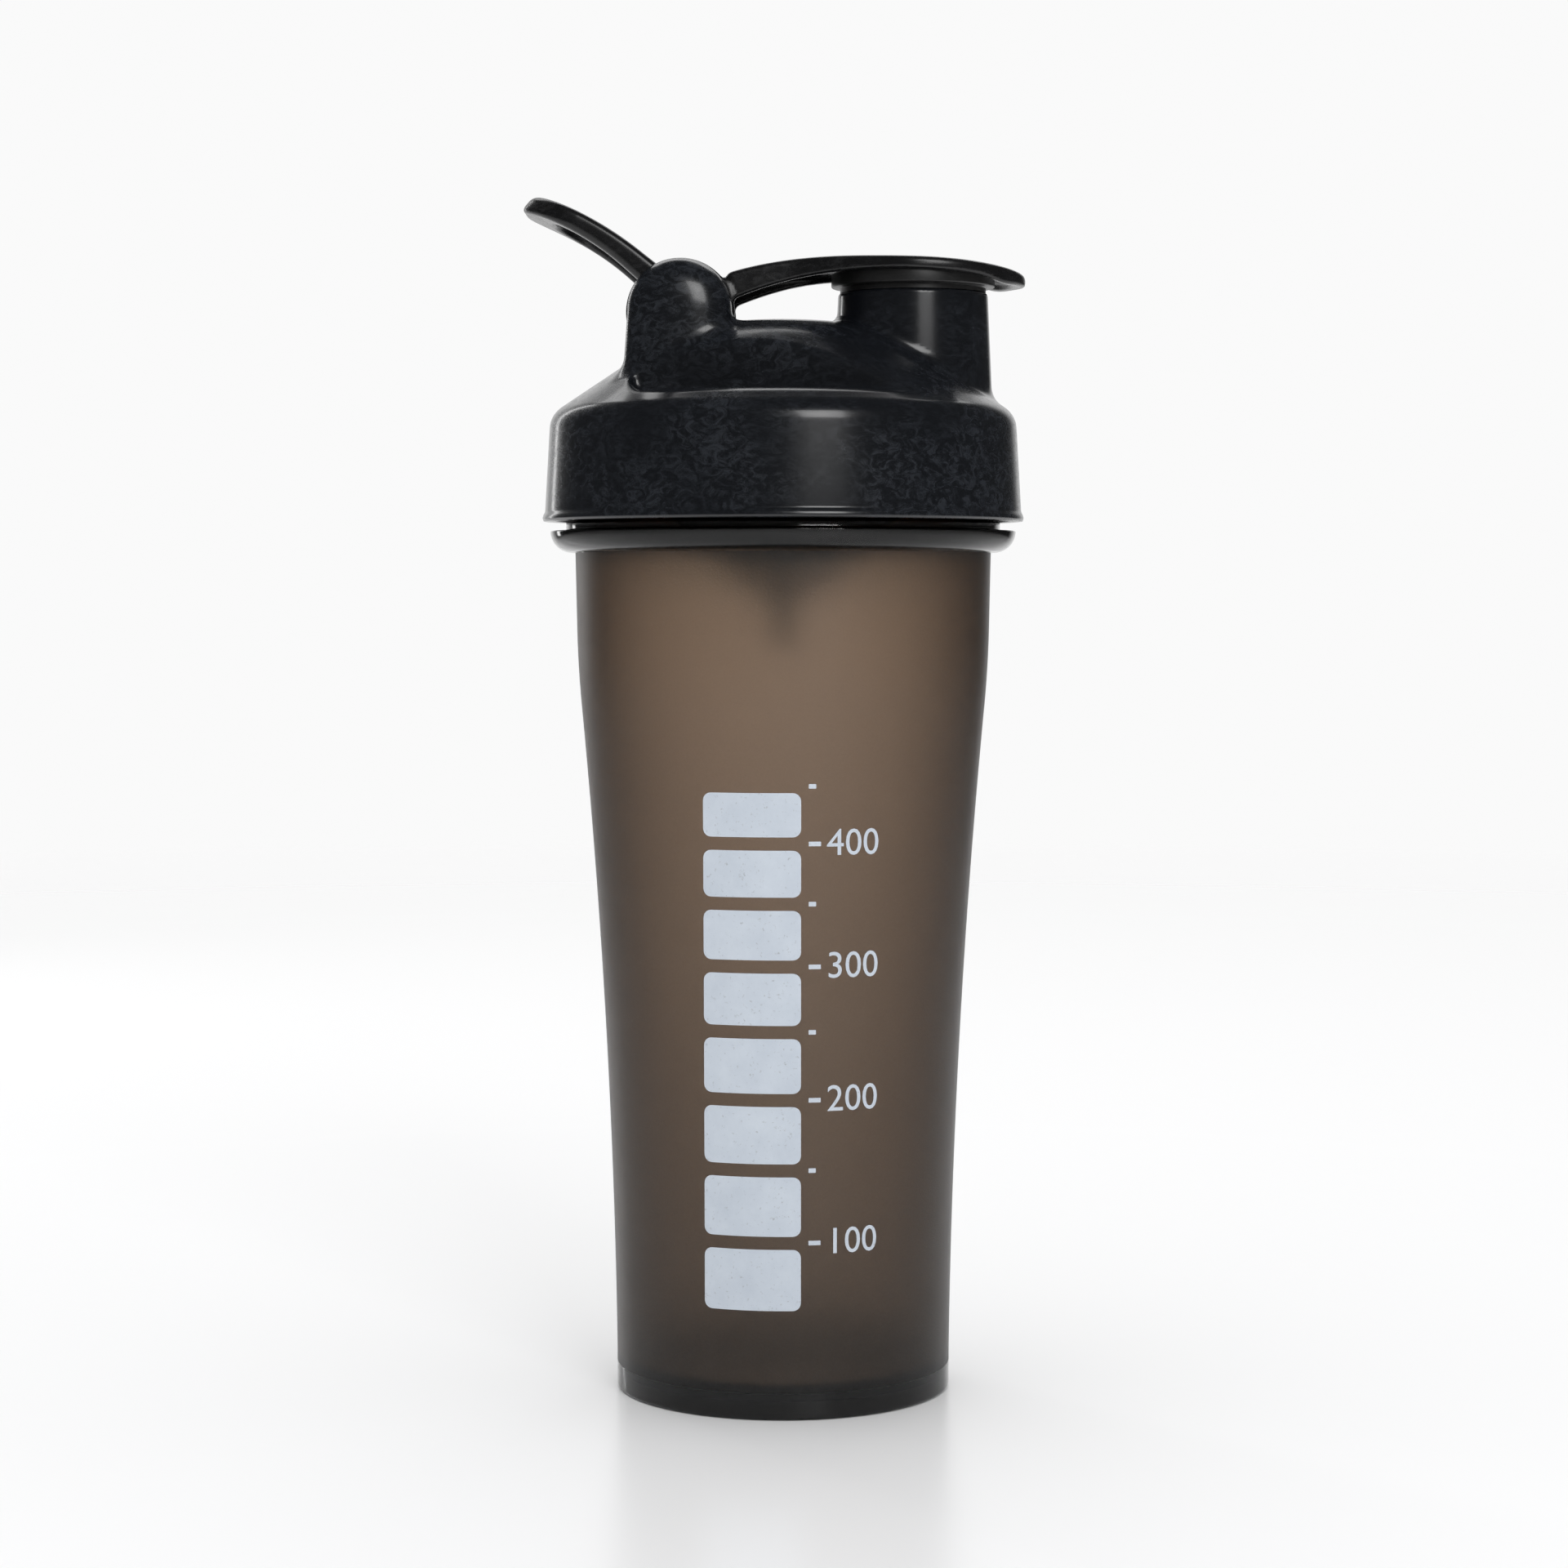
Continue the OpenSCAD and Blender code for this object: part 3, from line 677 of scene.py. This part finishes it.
lid = {"skirtRadius": 48.47, "skirtDraft": 0.0587, "beadOut": 0.43, "beadHeight": 1.35, "coneZ": 199.0,
       "coneRadius": 47.4, "coneSlope": 0.67, "crownZ": 218.35, "crownFall": 0.004, "shoulderBlend": 2.2,
       "crownBlend": 2.5, "scoopZ": 202.6, "scoopOut": 27.3, "scoopAngle": 15.0, "scoopEnd": -30.0,
       "earRadius": 10.4, "earIn": 15.3, "earOut": 22.1, "flareBack": 0.07, "flareFront": 0.02,
       "earRound": 2.7, "earNose": 2.3, "earSoft": 2.5, "earScale": 7.5, "earBlend": 2.6,
       "valley": 11.6, "spoutRadius": 15.2, "spoutDraft": 0.045, "spoutRound": 0.9, "spoutBlend": 2.2,
       "rootZ": 196.0, "bore": 12.9, "ringIn": 39.9, "ringOut": 41.7, "ringZ": 190.0,
       "skirtIn": 46.2, "sealTop": 198.2, "wall": 2.4, "pinBore": 3.05, "pinEnd": 19.3,
       "ridgeGap": 0.4, "ridgeHalf": 0.7, "ridgeFlank": 0.35, "columns": 276, "mesh": 0.63, "meshOut": 50.4}
scoopTurn = math.radians(lid["scoopAngle"])
coneLean = math.atan(lid["coneSlope"])


def lidDome(x, y, z):
    # the turned body of the lid with its two scoops and the valley for the hinge drum
    r = np.hypot(x, y)
    fadeOut = stepBetween(lid["beadHeight"] - 0.5, lid["beadHeight"] + 0.8, z - lidLow.z)
    bead = lid["beadOut"] * (1 - fadeOut)
    skirt = r - (lid["skirtRadius"] - lid["skirtDraft"] * (z - lidLow.z - 2) + bead)
    cone = (z - lid["coneZ"] - lid["coneSlope"] * (lid["coneRadius"] - r)) * math.cos(coneLean)
    crown = z - lid["crownZ"] + lid["crownFall"] * r * r
    body = smoothMax(smoothMax(skirt, cone, lid["shoulderBlend"]), crown, lid["crownBlend"])
    side = np.abs(y)
    wall = side * math.cos(scoopTurn) - x * math.sin(scoopTurn) - lid["scoopOut"]
    scoop = smoothMin(smoothMin(wall, z - lid["scoopZ"], 1.6), x - lid["scoopEnd"], 3.0)
    body = smoothMax(body, scoop, 1.0)
    drum = np.hypot(x - hinge.x, z - hinge.z) - lid["valley"]
    valley = np.maximum(drum, side - lid["earIn"])
    return smoothMax(body, -valley, 1.0)


def lidEar(x, y, z):
    # a lobe on each side of the hinge, which flares a little below the axis and has a bullet's nose
    across = x - hinge.x
    over = np.maximum(z - hinge.z, 0)
    below = np.maximum(hinge.z - z, 0)
    flare = np.where(across < 0, lid["flareBack"], lid["flareFront"]) * below
    along = np.hypot(across, over) / (lid["earRadius"] + flare)
    out = np.abs(y) - lid["earIn"]
    depth = np.maximum(out, 0) / (lid["earOut"] - lid["earIn"])
    bulge = along ** lid["earRound"] + depth ** lid["earNose"] + 1e-9
    bullet = (bulge ** (1 / lid["earSoft"]) - 1) * lid["earScale"]
    return smoothMax(smoothMax(bullet, -out, 0.8), lid["rootZ"] - z, 0.5)


def lidSpout(x, y, z):
    r = np.hypot(x - spout.x, y)
    wall = r - lid["spoutRadius"] - lid["spoutDraft"] * (spout.z - z)
    return smoothMax(smoothMax(wall, z - spout.z, lid["spoutRound"]), lid["rootZ"] - z, 0.5)


def lidThread(x, y, z):
    r = np.hypot(x, y)
    turn = (np.arctan2(y, x) % math.tau) / math.tau
    start = flangeZ + cup["threadLift"] - cup["threadLead"] / 2
    crest = cup["neckRadius"] + lid["ridgeGap"]
    best = np.full(r.shape, 9.0)
    for lap in (0, 1):
        along = turn + lap
        ends = np.minimum(along, cup["threadTurns"] - along)
        away = np.abs(z - start - cup["threadLead"] * along)
        flank = away - lid["ridgeHalf"] - (r - crest) * lid["ridgeFlank"]
        ridge = np.maximum(np.maximum(flank * 0.9, crest - r), -ends * 300)  # steep, so its ends are square
        best = np.minimum(best, ridge)
    return np.maximum(best, r - lid["skirtIn"] - 0.6)


def lidSpace(x, y, z, dome):
    # the groove for the cup's neck, the hollow dome, the throat of the spout and the hinge's blind bores
    r = np.hypot(x, y)
    grooveMiddle, grooveHalf = (lid["skirtIn"] + lid["ringOut"]) / 2, (lid["skirtIn"] - lid["ringOut"]) / 2
    groove = smoothMax(np.abs(r - grooveMiddle) - grooveHalf, z - lid["sealTop"], 0.6)
    under = np.maximum(r - lid["skirtIn"] + 0.3, z - lid["ringZ"])
    hollow = np.maximum(smoothMax(r - lid["ringIn"], dome + lid["wall"], 1.2), lid["ringZ"] - 2 - z)
    throat = np.maximum(np.hypot(x - spout.x, y) - lid["bore"], lid["ringZ"] - z)
    pin = np.maximum(np.hypot(x - hinge.x, z - hinge.z) - lid["pinBore"], np.abs(y) - lid["pinEnd"])
    space = smoothMin(smoothMin(groove, under, 0.4), smoothMin(hollow, throat, 0.8), 0.4)
    return np.minimum(space, pin)


def lidSolid(x, y, z):
    dome = lidDome(x, y, z)
    outside = smoothMin(dome, lidEar(x, y, z), lid["earBlend"])
    outside = smoothMin(outside, lidSpout(x, y, z), lid["spoutBlend"])
    outside = smoothMax(outside, lidLow.z - z, 0.5)
    solid = smoothMax(outside, -lidSpace(x, y, z, dome), 0.5)
    return smoothMin(solid, lidThread(x, y, z), 0.3)


def makeLid():
    axes = (np.linspace(0, math.tau, lid["columns"], endpoint=False),
            np.arange(0.001, lid["meshOut"], lid["mesh"]),
            np.arange(lidLow.z - 0.9, lidHigh.z + 1.2, lid["mesh"]))
    piece = carve("lidShell", lidSolid, axes, aroundZ, True, materials["lid"])
    polish(piece, lidSolid, 0.12)
    rideOn(piece, "lid", "lid")


makeLid()
print("lid made")


cap = {"armHalf": 11.4, "headHalf": 17.8, "tabReach": capHigh.x - spout.x, "top": capHigh.z, "fall": 3.6,
       "power": 2.6, "crown": 0.0032, "wall": 2.1, "drum": 10.9, "start": hinge.x + 9.0,
       "boss": 13.4, "stud": 4.0, "pin": 3.0, "pinEnd": 19.0, "seatZ": plugHigh.z, "seat": 16.8,
       "depth": 2.5, "rootDepth": 3.1, "rootX": 24, "rootRun": 34, "rootBow": 1.6,
       "tabDepth": 0.8, "tabX": 44.2, "tabRun": 3.2, "mesh": 0.5}
capMiddle = (cap["start"] + capHigh.x) / 2


def capTop(x, y):
    u = np.abs(x - capMiddle) / (capHigh.x - capMiddle)
    return cap["top"] - cap["fall"] * u ** cap["power"] - cap["crown"] * y * y


def capPlan(x, y):
    # distance outside the cap's outline seen from above
    t = stepBetween(cap["start"] + 12, spout.x, x)
    half = cap["armHalf"] + (cap["headHalf"] - cap["armHalf"]) * t
    head = (np.hypot((x - spout.x) / cap["tabReach"], y / cap["headHalf"]) - 1) * cap["headHalf"]
    return np.where(x < spout.x, np.abs(y) - half, head)


def capDepth(x):
    # depth of the rim, which grows towards the hinge and under the thumb tab
    arm = np.maximum(0, (cap["rootX"] - x) / cap["rootRun"])
    tab = np.exp(-((x - cap["tabX"]) / cap["tabRun"]) ** 2)
    return cap["depth"] + cap["rootDepth"] * arm ** cap["rootBow"] + cap["tabDepth"] * tab


def capOutside(x, y, z, top, plan):
    # the arched plate with its rim, joined to the hinge drum
    shell = smoothMax(smoothMax(plan, z - top, 1.1), cap["start"] - x, 1.6)
    shell = smoothMax(shell, top - capDepth(x) - z, 0.9)
    shaft = np.hypot(x - hinge.x, z - hinge.z)
    drum = smoothMax(shaft - cap["drum"], np.abs(y) - cap["armHalf"], 0.8)
    return smoothMin(shell, drum, 1.2)


def capSpace(x, y, z, top, plan):
    # the channel under the plate, the hollow of the drum with its mouth below, and the seat of the plug
    wall, drum = cap["wall"], cap["drum"]
    shaft = np.hypot(x - hinge.x, z - hinge.z)
    inArm = np.abs(y) - cap["armHalf"] + wall
    channel = smoothMax(smoothMax(plan + wall, z - top + wall, 1.2), hinge.x + drum - 1.0 - x, 1.0)
    core = smoothMax(shaft - drum + wall, inArm, 0.8)
    mouth = np.maximum(smoothMax(np.abs(x - hinge.x) - 0.6 * drum, inArm, 0.8), z - hinge.z)
    seat = smoothMax(np.hypot(x - spout.x, y) - cap["seat"], z - cap["seatZ"], 0.4)
    return smoothMin(smoothMin(channel, core, 0.5), smoothMin(mouth, seat, 0.3), 0.4)


def capSolid(x, y, z):
    top, plan = capTop(x, y), capPlan(x, y)
    solid = smoothMax(capOutside(x, y, z, top, plan), -capSpace(x, y, z, top, plan), 0.5)
    r = np.hypot(x - spout.x, y)
    boss = smoothMax(r - cap["boss"], np.maximum(cap["seatZ"] - z, z - top + 0.8), 0.4)
    stud = smoothMax(r - cap["stud"], np.maximum(plugLow.z + 4 - z, z - top + 0.8), 0.4)
    shaft = np.hypot(x - hinge.x, z - hinge.z)
    side = np.abs(y)
    pin = smoothMax(shaft - cap["pin"], np.maximum(side - cap["pinEnd"], cap["armHalf"] - 1.5 - side), 0.5)
    return smoothMin(smoothMin(solid, smoothMin(boss, stud, 0.3), 0.4), pin, 0.4)


def makeFlipCap():
    axes = tuple(np.arange(low - 1.3, high + 1.3, cap["mesh"]) for low, high in zip(capLow, capHigh))
    piece = carve("flipCapShell", capSolid, axes, straight, False, materials["cap"])
    polish(piece, capSolid, 0.05)
    rideOn(piece, "flip_cap", "flip_cap")


makeFlipCap()
print("flip cap made")


plug = {"ring": plugHigh.x - spout.x, "ringLift": 1.1, "shoulder": 14.8, "stem": 12.55, "lip": 1.6,
        "hole": 4.05, "segments": 144}


def makePlug():
    ringZ = spout.z + plug["ringLift"]
    ring, shoulder, stem, lip = plug["ring"], plug["shoulder"], plug["stem"], plug["lip"]
    outline = [(plug["hole"], ringZ), (plug["hole"], plugHigh.z), (ring - 0.5, plugHigh.z)]
    outline += arcPoints((ring - 0.45, plugHigh.z - 0.45), 0.45, 80, 0, 4)
    outline += [(ring, ringZ + 0.3)] + arcPoints((ring - 0.3, ringZ + 0.3), 0.3, -10, -90, 3)
    outline += [(shoulder + 0.3, ringZ), (shoulder, ringZ - 0.25), (shoulder, spout.z), (stem, spout.z)]
    outline += [(stem, plugLow.z + 1.5), (stem - 0.5, plugLow.z)]
    outline += [(stem - lip, plugLow.z), (stem - lip, ringZ)]
    piece = sweep("plugBody", outline, materials["plug"], plug["segments"])
    piece.data.transform(Matrix.Translation((spout.x * mm, 0, 0)))
    tidyNormals(piece, 40)
    rideOn(piece, "flip_cap", "spout_plug")


makePlug()
print("plug made")


loop = {"parked": 140.0, "length": 38.0, "knuckleIn": 11.7, "knuckleOut": 15.0, "knuckle": 7.5, "lift": 1.8,
        "bendAt": 14.0, "bendRadius": 60.0, "thick": 3.9, "swell": 0.9, "corner": 10.5,
        "holeEnd": 31.5, "holeCorner": 8.0, "bore": 3.05, "mesh": 0.42}
loopTurn = math.radians(loop["parked"])


def roundEnd(u, side, reach, half, corner):
    # distance outside a flat bar that ends in two round corners
    a = np.maximum(u - (reach - corner), 0)
    b = np.maximum(side - (half - corner), 0)
    return np.where(u > reach - corner, np.hypot(a, b) - corner, side - half)


def loopSolid(x, y, z):
    # u runs from the hinge to the tip of the parked loop, and v across its thickness
    dx, dz = x - hinge.x, z - hinge.z
    u = dx * math.cos(loopTurn) + dz * math.sin(loopTurn)
    v = dx * math.sin(loopTurn) - dz * math.cos(loopTurn)
    bend = np.maximum(0, u - loop["bendAt"])
    middle = loop["lift"] - bend ** 2 / (2 * loop["bendRadius"])
    lean = np.sqrt(1 + (bend / loop["bendRadius"]) ** 2)
    half = loop["thick"] / 2 + loop["swell"] * np.clip(1 - u / loop["length"], 0, 1.3) ** 2
    side = np.abs(y)
    flat = (np.abs(v - middle)) / lean - half
    outer = roundEnd(u, side, loop["length"], loop["knuckleOut"], loop["corner"])
    hole = roundEnd(u, side, loop["holeEnd"], loop["knuckleIn"], loop["holeCorner"])
    rails = smoothMax(smoothMax(flat, outer, 1.6), -hole, 0.9)
    rails = smoothMax(rails, -u, 0.5)
    shaft = np.hypot(dx, dz)
    middleSide = (loop["knuckleIn"] + loop["knuckleOut"]) / 2
    halfWidth = (loop["knuckleOut"] - loop["knuckleIn"]) / 2
    knuckle = smoothMax(shaft - loop["knuckle"], np.abs(side - middleSide) - halfWidth, 0.7)
    return smoothMax(smoothMin(rails, knuckle, 1.5), loop["bore"] - shaft, 0.4)


def makeLoop():
    axes = tuple(np.arange(low - 1.3, high + 1.3, loop["mesh"]) for low, high in zip(loopLow, loopHigh))
    piece = carve("carryLoopRing", loopSolid, axes, straight, False, materials["cap"])
    polish(piece, loopSolid, 0.05)
    rideOn(piece, "carry_loop", "carry_loop")


makeLoop()
print("loop made")


seal = {"slack": 0.1, "edge": 0.2, "segments": 160}


def makeSeal():
    inner, outer = lid["ringOut"] + seal["slack"], sealHigh.x
    low, high, edge = sealLow.z, sealHigh.z, seal["edge"]
    outline = [(inner, low + edge), (inner + edge, low), (outer - edge, low), (outer, low + edge),
               (outer, high - edge), (outer - edge, high), (inner + edge, high), (inner, high - edge)]
    piece = sweep("sealRing", outline, materials["seal"], seal["segments"])
    tidyNormals(piece, 50)
    rideOn(piece, "lid_seal", "lid_seal")


mixer = {"collar": 39.8, "wall": 1.6, "lip": 1.6, "collarZ": 182.5, "lipZ": 190.0, "tipZ": 161.5,
         "stem": 2.15, "bar": 1.6, "overlap": 0.8, "collarSides": 160, "hubSides": 96, "bandSides": 128,
         # rows of slots: how many bars, from which radius, to which radius, width of a bar
         "rows": ((8, 6.5, 13.5, 3.0), (14, 16.5, 24.0, 3.4), (22, 27.0, 36.2, 3.6))}


mixerSlope = (mixer["collarZ"] - mixer["tipZ"]) / (mixer["collar"] - mixer["stem"])


def coneZ(r):
    # height of the underside of the cone at a radius
    return mixer["tipZ"] + (r - mixer["stem"]) * mixerSlope


def makeCollar():
    collar, wall, lip, lipZ = mixer["collar"], mixer["wall"], mixer["lip"], mixer["lipZ"]
    lipOut, edge = gridHigh.x, mixer["rows"][-1][2]
    outline = [(collar, mixer["collarZ"]), (collar, lipZ - lip), (lipOut, lipZ - lip), (lipOut, lipZ - 0.2),
               (lipOut - 0.2, lipZ), (collar, lipZ), (collar, gridHigh.z - 0.3),
               (collar - 0.3, gridHigh.z), (collar - wall, gridHigh.z), (collar - wall, mixer["collarZ"] + 1),
               (edge, coneZ(edge) + wall), (edge, coneZ(edge))]
    return sweep("gridCollar", outline, materials["grid"], mixer["collarSides"])


def makeHub():
    # the round-tipped stem and the solid middle of the cone
    stem, wall, tipZ, first = mixer["stem"], mixer["wall"], mixer["tipZ"], mixer["rows"][0][1]
    outline = [(0, gridLow.z)]
    outline += [(stem * math.sin(a), gridLow.z + stem * (1 - math.cos(a)))
                for a in np.linspace(0.3, math.pi / 2, 5)]
    outline += [(stem, tipZ), (first, coneZ(first)), (first, coneZ(first) + wall)]
    outline += [(stem, tipZ + wall), (0, tipZ + wall)]
    return sweep("gridHub", outline, materials["grid"], mixer["hubSides"], closed=False)


def makeBand(low, high):
    top = mixer["wall"]
    outline = [(low, coneZ(low)), (high, coneZ(high)), (high, coneZ(high) + top), (low, coneZ(low) + top)]
    return sweep("gridBand", outline, materials["grid"], mixer["bandSides"])


def makeRibs(count, low, high, width):
    ribs = meshObject("gridRibs", [], [], materials["grid"])
    lean = math.atan(mixerSlope)
    middle = (low + high) / 2
    length = (high - low + mixer["overlap"]) / math.cos(lean)
    return growWith(ribs, ribGroup, {
        "Count": count, "Bar Size": (length * mm, width * mm, mixer["bar"] * mm),
        "Bar Place": (middle * mm, 0, (coneZ(middle) + mixer["wall"] / 2) * mm),
        "Tilt": -lean, "Finish": materials["grid"]})


def makeGrid():
    rows = mixer["rows"]
    parts = [makeCollar(), makeHub()]
    parts += [makeBand(inner[2], outer[1]) for inner, outer in zip(rows, rows[1:])]
    parts += [makeRibs(*row) for row in rows]
    for part in parts:
        tidyNormals(part, 40)
    whole = joinPieces(parts, "mixingGrid")
    rideOn(whole, "mixing_grid", "mixing_grid")


makeSeal()
makeGrid()
print("seal and grid made")


scale = {"first": 50, "last": 450, "step": 50, "left": -16.0, "right": 3.5, "gap": 2.6, "corner": 1.6,
         "number": 7.4, "numberX": 8.5, "tickX": 5.0, "tick": 2.4, "shortTick": 0.6, "line": 0.45,
         "raise": 0.06, "sunk": 0.02, "stripX": 1.0, "stripZ": 4.0}


def levelHeights():
    # height of the drink for each volume in millilitres, from the inside of the cup
    layer = 0.25
    zs = np.arange(cup["recess"] + cup["floor"], bodyTopZ, layer)
    areas = np.array([math.pi * (cupRadius(z) - cup["wall"]) ** 2 for z in zs]) / 1000
    volumes = np.concatenate([[0], np.cumsum((areas[1:] + areas[:-1]) / 2 * layer)])
    return lambda v: float(np.interp(v, volumes, zs))


def roundedBlock(work, left, right, low, high, corner):
    points = []
    for cx, cz, start in ((right - corner, low + corner, -90), (right - corner, high - corner, 0),
                          (left + corner, high - corner, 90), (left + corner, low + corner, 180)):
        points += arcPoints((cx, cz), corner, start, start + 90, 5)
    work.faces.new([work.verts.new((x, 0, z)) for x, z in points])


def tickMark(work, left, right, low, high):
    corners = ((left, low), (right, low), (right, high), (left, high))
    work.faces.new([work.verts.new((x, 0, z)) for x, z in corners])


def writeNumber(work, text, x, z, size):
    curve = bpy.data.curves.new("number", "FONT")
    curve.body, curve.size, curve.resolution_u = text, size, 4
    curve.align_y = "CENTER"
    letters = bpy.data.objects.new("number", curve)
    bpy.context.scene.collection.objects.link(letters)
    bpy.context.view_layer.update()
    mesh = bpy.data.meshes.new_from_object(letters.evaluated_get(bpy.context.evaluated_depsgraph_get()))
    for v in mesh.vertices:
        v.co = Vector((x + v.co.x, 0, z + v.co.y))
    work.from_mesh(mesh)
    bpy.data.objects.remove(letters)
    bpy.data.meshes.remove(mesh)
    bpy.data.curves.remove(curve)


def drawScale(work):
    levelZ = levelHeights()
    levels = list(range(scale["first"], scale["last"] + 1, scale["step"]))
    for low, high in zip(levels, levels[1:]):
        base, top = levelZ(low) + scale["gap"] / 2, levelZ(high) - scale["gap"] / 2
        roundedBlock(work, scale["left"], scale["right"], base, top, scale["corner"])
    for level in levels[1:]:
        z = levelZ(level)
        full = level % 100 == 0
        reach = scale["tick"] * (1 if full else scale["shortTick"])
        tickMark(work, scale["tickX"], scale["tickX"] + reach, z - scale["line"], z + scale["line"])
        if full:
            writeNumber(work, str(level), scale["numberX"], z, scale["number"])


def sliceAcross(work, places, direction):
    # cuts the flat print into strips, so that it can bend around the cup
    for place in places:
        bmesh.ops.bisect_plane(work, geom=work.verts[:] + work.edges[:] + work.faces[:],
                               plane_co=direction * place, plane_no=direction)


def makeScale():
    work = bmesh.new()
    drawScale(work)
    sliceAcross(work, np.arange(scale["left"] - 1, 24, scale["stripX"]), Vector((1, 0, 0)))
    sliceAcross(work, np.arange(20, 140, scale["stripZ"]), Vector((0, 0, 1)))
    bmesh.ops.remove_doubles(work, verts=work.verts, dist=0.01)
    bmesh.ops.triangulate(work, faces=work.faces)
    grown = bmesh.ops.extrude_face_region(work, geom=work.faces[:])["geom"]
    raised = {v for v in grown if isinstance(v, bmesh.types.BMVert)}
    for v in work.verts:
        surface = cupRadius(v.co.z)
        radius = surface + (scale["raise"] if v in raised else -scale["sunk"])
        turn = v.co.x / surface
        v.co = Vector((radius * math.sin(turn), -radius * math.cos(turn), v.co.z)) * mm
    mesh = bpy.data.meshes.new("printedScale")
    work.to_mesh(mesh)
    work.free()
    mesh.materials.append(materials["ink"])
    piece = bpy.data.objects.new("printedScale", mesh)
    bpy.context.scene.collection.objects.link(piece)
    tidyNormals(piece, 30)
    rideOn(piece, "cup", None)


makeScale()
print("scale made")


studio = {"cameraPlace": (0.00018, -0.7143, 0.1641), "pitch": 3.218, "lens": 80.14,
          "floorRadius": 3.0, "floorSides": 96, "paper": (0.86, 0.86, 0.865, 1), "paperRoughness": 0.28,
          "fadeFrom": 0.35, "fadeOver": 1.2}
# each light's place, what it points at, its two sides in metres and its power in watts
lights = {"keyBox": ((0.33, -0.95, 0.66), (0, 0, 0.19), (0.40, 0.5), 3.6),
          "leftStrip": ((-0.52, 0.72, 0.40), (0, 0, 0.2), (0.07, 0.7), 0.6),
          "topBox": ((0, 0.95, 1.15), (0, 0, 0.2), (1.2, 0.5), 3.5)}
# mirrored rays meet a dark room with a low bright backdrop, rays through the plastic meet a room that is
# brightest behind the bottle, and all other rays meet an even white
room = {"white": 0.955, "dark": 0.03, "backdrop": 0.95, "edge": 0.87, "edgeSharp": 12,
        "top": 0.55, "topSharp": 5, "behind": 0.86, "around": 0.16, "widen": 1.1, "fall": 1.5}


def makeFloor():
    mesh = bpy.data.meshes.new("floor")
    radius, sides = studio["floorRadius"], studio["floorSides"]
    rim = [(radius * math.cos(a), radius * math.sin(a), 0)
           for a in np.linspace(0, math.tau, sides, endpoint=False)]
    mesh.from_pydata(rim, [], [list(range(sides))])
    floor = bpy.data.objects.new("floor", mesh)
    bpy.context.scene.collection.objects.link(floor)
    material, tree, place = newMaterial("floorPaper")
    parts = tree.add("ShaderNodeSeparateXYZ", None, {0: place})
    x, y = parts, tree.output(parts, 1)
    far = ((x * x + y * y) ** 0.5 - studio["fadeFrom"]) / studio["fadeOver"]  # fades into the backdrop
    paper = tree.add("ShaderNodeBsdfPrincipled", None, {
        "Base Color": studio["paper"], "Roughness": studio["paperRoughness"], "Specular IOR Level": 0.35})
    clear = tree.add("ShaderNodeBsdfTransparent")
    finishMaterial(tree, tree.add("ShaderNodeMixShader", None, {0: far.clamp(), 1: paper, 2: clear}))
    mesh.materials.append(material)


def makeWorld():
    world = bpy.data.worlds.new("studio")
    bpy.context.scene.world = world
    world.use_nodes = True
    world.node_tree.nodes.clear()
    tree = Tree(world.node_tree)
    direction = tree.add("ShaderNodeTexCoord")
    parts = tree.add("ShaderNodeSeparateXYZ", None, {0: direction})
    x, y, z = parts, tree.output(parts, 1), tree.output(parts, 2)
    ahead = y / ((x * x + y * y) ** 0.5 + 0.0001)
    sides = ((ahead - room["edge"]) * room["edgeSharp"]).clamp()
    backdrop = sides * ((room["top"] - z) * room["topSharp"]).clamp()
    mirrored = backdrop * room["backdrop"] + room["dark"]
    beyond = (ahead * room["widen"]).clamp() ** room["fall"] * room["behind"] + room["around"]
    rays = tree.add("ShaderNodeLightPath")
    glossy = Wire(tree, rays.socket.node.outputs["Is Glossy Ray"])
    passed = Wire(tree, rays.socket.node.outputs["Is Transmission Ray"])
    level = glossy * mirrored + passed * beyond + (1 - glossy - passed) * room["white"]
    shade = tree.add("ShaderNodeBackground", None, {"Color": (1, 1, 1, 1), "Strength": level})
    tree.add("ShaderNodeOutputWorld", None, {"Surface": shade})


def makeLight(name, place, target, size, power):
    data = bpy.data.lights.new(name, "AREA")
    data.shape = "RECTANGLE"
    data.size, data.size_y, data.energy = size[0], size[1], power
    light = bpy.data.objects.new(name, data)
    light.location = place
    light.rotation_euler = (Vector(target) - Vector(place)).to_track_quat("-Z", "Y").to_euler()
    bpy.context.scene.collection.objects.link(light)
    light.visible_camera = False


def makeCamera():
    data = bpy.data.cameras.new("camera")
    data.lens = studio["lens"]
    data.sensor_width = 36
    camera = bpy.data.objects.new("camera", data)
    camera.location = studio["cameraPlace"]
    camera.rotation_euler = (math.radians(90 - studio["pitch"]), 0, 0)
    bpy.context.scene.collection.objects.link(camera)
    bpy.context.scene.camera = camera


makeFloor()
makeWorld()
for name, (place, target, size, power) in lights.items():
    makeLight(name, place, target, size, power)
makeCamera()
bpy.context.scene.view_settings.view_transform = "Standard"
print("studio made")
